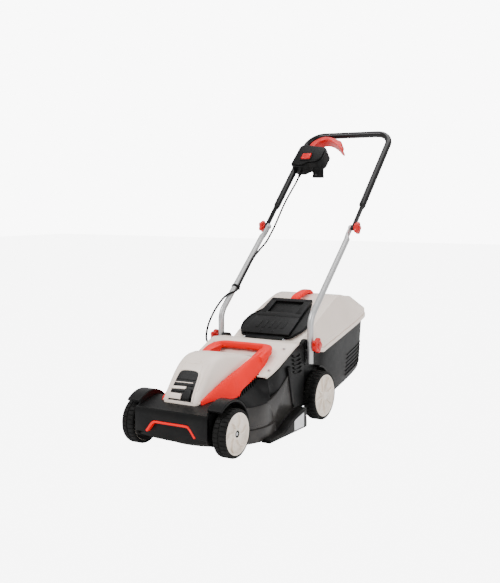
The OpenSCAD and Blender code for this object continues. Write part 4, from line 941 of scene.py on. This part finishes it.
upper = spline([(-141, 398, 0), (-144, 418, 0), (-141, 438, 0), (-120, 461, 0), (-92, 470, 0),
                (-60, 462, 0), (-32, 448, 0), (-14, 436, 0),
                (-8, 412, 0), (4, 397, 0)], 6)
lower = spline([(3, 390, 0), (-12, 402, 0), (-24, 416, 0), (-58, 441, 0), (-88, 450, 0), (-112, 440, 0),
                (-123, 418, 0), (-125, 397, 0)], 6)
lever = moved(slab_y([(p.x, p.y) for p in upper + lower], -17, 17, 4.0, 0, 4), BAR_FRAME)
piece("lever_arch", "bail_lever", DEEP_RED, lever, "bail_lever", crease=40)

# ---------------------------------------------------------------- cables

sleeve = [(3.6, 0), (4.6, 0), (4.6, 3)]
for k in range(5):
    z = 3 + 5 * k
    sleeve += [(5.6 - 0.1 * k, z + 0.6), (5.6 - 0.1 * k, z + 3), (4.8, z + 3.6), (4.8, z + 4.6)]
sleeve += [(5.7, 29), (5.7, 34), (3.6, 34)]
piece("sleeve_ribbed", "upper_handle", CABLE,
      moved(lathe(sleeve, 40), BAR_FRAME @ shift(-143, 6, BOX_FOOT - 26)), "strain_relief", crease=45)

upper_route = [(-143, 6, 312), (-143, 6, 270), (-143, 6, 235), (-146, 6, 190), (-150, 8, 140),
               (-152, 12, 90), (-152, 15, 50), (-152, 16, 26)]
elbow_route = [(-152, 800.4, 626.9), (-152, 792, 617.5), (-152, 780, 606), (-152, 768.4, 595.4)]
lower_route = [(-152, 768, 595), (-153, 735, 566), (-154.5, 700, 545), (-154.5, 650, 515.5),
               (-154.5, 600, 470), (-154.5, 560, 431.5),
               (-154.5, 542.6, 414.9)]
loop_route = [(-154.5, 541.8, 414.2), (-154.5, 531, 407), (-158, 516, 402.5), (-168, 500, 397),
              (-181, 480, 378), (-193, 455, 345),
              (-199, 430, 308), (-198, 412, 276), (-190, 398, 254), (-176, 389, 243), (-162, 386, 240),
              (-150, 386, 240)]
piece("cable_on_bar", "upper_handle", CABLE, moved(hose(upper_route, CABLE_R), BAR_FRAME),
      "cable_upper", crease=60)
piece("cable_on_leg", "lower_handle", CABLE, hose(lower_route, CABLE_R), "cable_lower", crease=60)
elbow = piece("cable_at_joint", None, CABLE, hose(elbow_route, CABLE_R, 6), "cable_elbow", crease=60)
loop = piece("cable_at_pivot", None, CABLE, hose(loop_route, CABLE_R, 6), "cable_loop", crease=60)


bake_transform(elbow)
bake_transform(loop)

clip_at = Matrix.Translation(Vector((LEG_X, 0, 0)) + BEND_END + LEG_DIR
                             * 92) @ Matrix.Rotation(-LEG_LEAN, 4, "X")
clip = joined(lathe([(10.05, -4), (12, -4), (12.4, -3), (12.4, 3), (12, 4), (10.05, 4)], 40),
              moved(lathe([(3.55, -4), (5.5, -4), (5.8, -3), (5.8, 3), (5.5, 4), (3.55, 4)], 32),
                    shift(-14.5, 0, 0)),
              moved(block((-6, -3, -3), (2, 3, 3), 0.8), shift(-9, 10, 0)))
piece("clip_black", "lower_handle", BLACK, moved(moved(clip, clip_at), LEFT), "cable_clip", crease=40)

# ---------------------------------------------------------------- discharge flap

FLAP = Matrix.Translation((0, 456, 262)) @ Matrix.Rotation(radians(26.5), 4, "X")
base = [(-92, 9), (-118, 50), (-126, 86), (-120, 128), (-92, 168), (-78, 220), (78, 220), (92, 168),
        (120, 128), (126, 86), (118, 50), (92, 9)]
base = slab(rounded(base, 6, 4), 6, 1.6, 3)


def raised(outline, low, high, edge):
    return moved(slab(outline, high - low, edge, 3), shift(0, 0, low))


lower = raised([(-87.5, 12), (87.5, 12), (82.6, 120), (-82.6, 120)], 4, 15.2, 2.4)
step = raised([(-83, 112), (83, 112), (82, 138), (-82, 138)], 4, 16.2, 2.2)
sill = raised([(-82, 130), (82, 130), (78.4, 220), (-78.4, 220)], 4, 8.4, 1.0)
jambs = both_sides(raised([(54, 130), (82.2, 130), (78.6, 222), (54, 222)], 4, 16.2, 2.2))
head = raised([(-78.8, 208), (78.8, 208), (78, 226), (-78, 226)], 4, 16.2, 2.2)
slots = [raised([(x - 5, 42), (x + 5, 42), (x + 4.6, 84), (x - 4.6, 84)], 14, 16.6, 0.9)
         for x in (-48, -24, 0, 24, 48)]
holes = both_sides(moved(lathe([(3.4, 0), (6, 0), (6, 1), (5.2, 1.6), (3.4, 1.6)], 32),
                         shift(22, 24, 14.6)))
hinge_roll = moved(lathe([(3.1, -71), (7.4, -71), (8, -70), (8, 70), (7.4, 71), (3.1, 71)], 40), ACROSS)
web = block((-71, 1, -4), (71, 18, 8), 1.2)
wings = both_sides(sweep([(92, 14, 6.2), (115, 52, 6.2), (121, 88, 6.2), (114, 124, 6.2),
                          (92, 158, 6.2)], 1.6, 1.6, (0, 0, 1), 2.6, 10))
flap = moved(joined(base, lower, step, sill, jambs, head, holes, hinge_roll, web, wings, *slots), FLAP)
piece("flap_moulded", "discharge_flap", DECK, flap, "discharge_flap", crease=40)

# ---------------------------------------------------------------- grass box

BOX_END = 935
LID = [(464, 258, 130, 248, 138, 238), (486, 269, 131, 252, 139, 234), (500, 278, 132, 254, 139, 232),
       (530, 292, 132, 250, 140, 226),
       (560, 306, 132, 246, 163, 216), (594, 321, 130, 252, 165, 222), (754, 381, 122, 288, 166, 258),
       (844, 375, 116, 308, 165, 278),
       (915, 365, 104, 324, 159, 294), (935, 347, 86, 328, 139, 299)]
columns = [spline([(s[0], s[k], 0) for s in LID], 4) for k in (1, 2, 3, 4, 5)]
sections = []
for top, flat, seam, rim_x, rim_z in zip(*columns):
    y, t, f, s, x, z = top.x, top.y, flat.y, seam.y, rim_x.y, rim_z.y
    f = min(f, x - 12)
    rise = min(13, (s - z) * 0.45)
    right = [(x - 0.6, z), (x + 1.0, z + 1.4), (x + 1.0, z + rise), (x - 0.4, z + rise + 1.0),
             (x - 3.6, z + rise + 1.4),
             (x - 3.6, z + rise + 3.6), (x - 1.4, z + rise + 4.2), (x - 2.2, s - 0.6), (x - 4, s + 1.4),
             ((x + f) / 2 + 0.4, (s + t) / 2 - 1), (f + 1.4, t - 3.6), (f - 1, t - 1.2), (f - 6, t),
             (f * 0.4, t + 0.2)]
    sections.append([(a, y, b) for a, b in right] + [(-a, y, b) for a, b in reversed(right)])
last = sections[-1]
RIM_TOP = 299
for share, push in ((0.97, 2.2), (0.9, 4.2), (0.7, 5.2), (0.35, 5.6), (0.02, 5.8)):
    sections.append([(a * share, BOX_END - 4 + push, RIM_TOP + (b - RIM_TOP) * share) for a, _,
                     b in last])
lid = skin(sections, closed=False, caps=False)
bmesh.ops.recalc_face_normals(lid, faces=lid.faces)
bmesh.ops.solidify(lid, geom=lid.faces[:], thickness=2.2)
piece("lid_shell", "grass_box", BEIGE, lid, "box_lid", crease=17)

BODY = [(548, 213, 112, 138, 132), (574, 219, 74, 142, 134), (616, 228, 44, 152, 136),
        (714, 250, 54, 156, 140), (889, 289, 98, 152, 140),
        (905, 293, 124, 146, 136)]
columns = [spline([(s[0], s[k], 0) for s in BODY], 5) for k in (1, 2, 3, 4)]
sections, walls = [], []
for top, low, wide, narrow in zip(*columns):
    y, t, b, w, n = top.x, top.y, low.y, wide.y, narrow.y
    walls.append((y, t, b, w, n))
    right = [(0.01, b), (n - 16, b), (n - 5, b + 3), (n - 1, b + 9),
             (n + (w - n) * 0.3, b + (t - b) * 0.35), (w - 1, t - 8), (w, t)]
    sections.append([(x, y, z) for x, z in reversed(right)] + [(-x, y, z) for x, z in right])
last, last_y, BODY_TOP = sections[-1], BODY[-1][0], 293
for share, push in ((0.96, 2), (0.85, 3.4), (0.5, 4), (0.03, 4.4)):
    sections.append([(x * share, last_y + push, BODY_TOP + (z - BODY_TOP) * share) for x, _, z in last])
box = skin(sections, closed=False, caps=False)
bmesh.ops.remove_doubles(box, verts=box.verts, dist=0.05)
bmesh.ops.recalc_face_normals(box, faces=box.faces)
bmesh.ops.solidify(box, geom=box.faces[:], thickness=2.4)
ribs = []
for k in range(6):
    share = 0.14 + 0.075 * k
    line = [Vector((n + (w - n) * share + 0.3, y, b + (t - b) * share)) for y, t, b, w, n in walls[17:]]
    ribs.append(sweep(line, 1.0, 1.5, (1, 0, 0), 3.0, 10))
piece("box_shell", "grass_box", DECK, joined(box, both_sides(joined(*ribs))), "box_body", crease=34)

line = spline([(0, 663, 344), (0, 667, 360), (0, 676, 375), (0, 700, 384), (0, 732, 391.5),
               (0, 756, 393), (0, 772, 389), (0, 784, 377), (0, 789, 364)], 5)
ups = [(0, -0.3, 1) if 680 < p.y < 770 else (0, -1 if p.y < 700 else 1, 0.9) for p in line]
grip = sweep(line, 16.5, 7.6, ups, 3.6, 24)
piece("grip_arch", "grass_box", RED, grip, "box_handle", crease=45)

# ---------------------------------------------------------------- finishes on the parts shown as they are

KEPT = {
    STEEL: ["cover_screws", "front_axle", "rear_axle", "pivot_bolts", "joint_bolts", "motor_bearings",
            "motor_bolts",
            "rotor_shaft", "blade_bolt", "flap_pin", "flap_spring"],
    MOTOR: ["motor_stator"],
    BLACK: ["cooling_fan", "blade_carrier", "axle_nuts"],
    BLADE: ["blade"],
    CABLE: ["cable_gland"],
    FOIL: ["rating_label"],
}
for finish, names in KEPT.items():
    for node in names:
        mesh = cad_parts[node].data
        mesh.materials.clear()
        mesh.materials.append(finish.material)

# ---------------------------------------------------------------- studio

SEEN_WHITE = 9.0  # brightness that only the camera sees, on the floor and round it

ground = bmesh.new()
bmesh.ops.create_grid(ground, x_segments=2, y_segments=2, size=12)
mesh = bpy.data.meshes.new("studio_floor")
ground.to_mesh(mesh)
ground.free()
floor = bpy.data.objects.new("studio_floor", mesh)
bpy.context.scene.collection.objects.link(floor)
floor_finish = Finish("studio_floor", "", Roughness=0.6, Specular_IOR_Level=0.2,
                      Emission_Color=(1, 1, 1, 1), Emission_Strength=0.3)
screen = floor_finish.tree.nodes.new("ShaderNodeEmission")
screen.inputs["Strength"].default_value = SEEN_WHITE
lit = floor_finish.tree.nodes.new("ShaderNodeMixShader")
sight = floor_finish.node("ShaderNodeLightPath", {}, {}, "Is Camera Ray")
floor_finish.tree.links.new((sight * 0.8).socket, lit.inputs[0])
floor_finish.tree.links.new(floor_finish.shader.outputs[0], lit.inputs[1])
floor_finish.tree.links.new(screen.outputs[0], lit.inputs[2])
floor_finish.tree.links.new(lit.outputs[0],
                            floor_finish.tree.nodes["Material Output"].inputs["Surface"])
floor_finish.feed(Base_Color=floor_finish.blend(floor_finish.noise(2.0), (0.86, 0.86, 0.86),
                                                (0.9, 0.9, 0.9)))
floor.data.materials.append(floor_finish.material)

world = bpy.data.worlds.new("studio")
bpy.context.scene.world = world
world.use_nodes = True
world.node_tree.nodes["Background"].inputs["Color"].default_value = (1, 1, 1, 1)
world.node_tree.nodes["Background"].inputs["Strength"].default_value = 0.9
seen = world.node_tree.nodes.new("ShaderNodeBackground")
seen.inputs["Color"].default_value = (1, 1, 1, 1)
seen.inputs["Strength"].default_value = SEEN_WHITE
split = world.node_tree.nodes.new("ShaderNodeMixShader")
rays = world.node_tree.nodes.new("ShaderNodeLightPath")
world.node_tree.links.new(rays.outputs["Is Camera Ray"], split.inputs[0])
world.node_tree.links.new(world.node_tree.nodes["Background"].outputs[0], split.inputs[1])
world.node_tree.links.new(seen.outputs[0], split.inputs[2])
world.node_tree.links.new(split.outputs[0], world.node_tree.nodes["World Output"].inputs["Surface"])


def lamp(name, at, aim, size, power):
    light = bpy.data.lights.new(name, "AREA")
    light.shape, light.size, light.size_y, light.energy = "RECTANGLE", size[0], size[1], power
    obj = bpy.data.objects.new(name, light)
    obj.location = at
    obj.rotation_euler = (Vector(aim) - Vector(at)).to_track_quat("-Z", "Y").to_euler()
    bpy.context.scene.collection.objects.link(obj)


lamp("key", (-1.6, -2.4, 3.2), (0, 0, 0.3), (2.2, 1.6), 120)
lamp("fill", (3.0, -1.2, 1.8), (0, 0, 0.4), (2.0, 2.0), 45)
lamp("top", (0.2, 1.2, 3.6), (0, 0.1, 0.3), (3.0, 2.2), 85)

eye = bpy.data.cameras.new("camera")
eye.lens, eye.sensor_width = 54.476, 36
camera = bpy.data.objects.new("camera", eye)
camera.location = (1.4352, -2.56916, 0.7134)
camera.rotation_euler = (pi / 2 - 0.1022, 0, 0.5383)
bpy.context.scene.collection.objects.link(camera)
bpy.context.scene.camera = camera
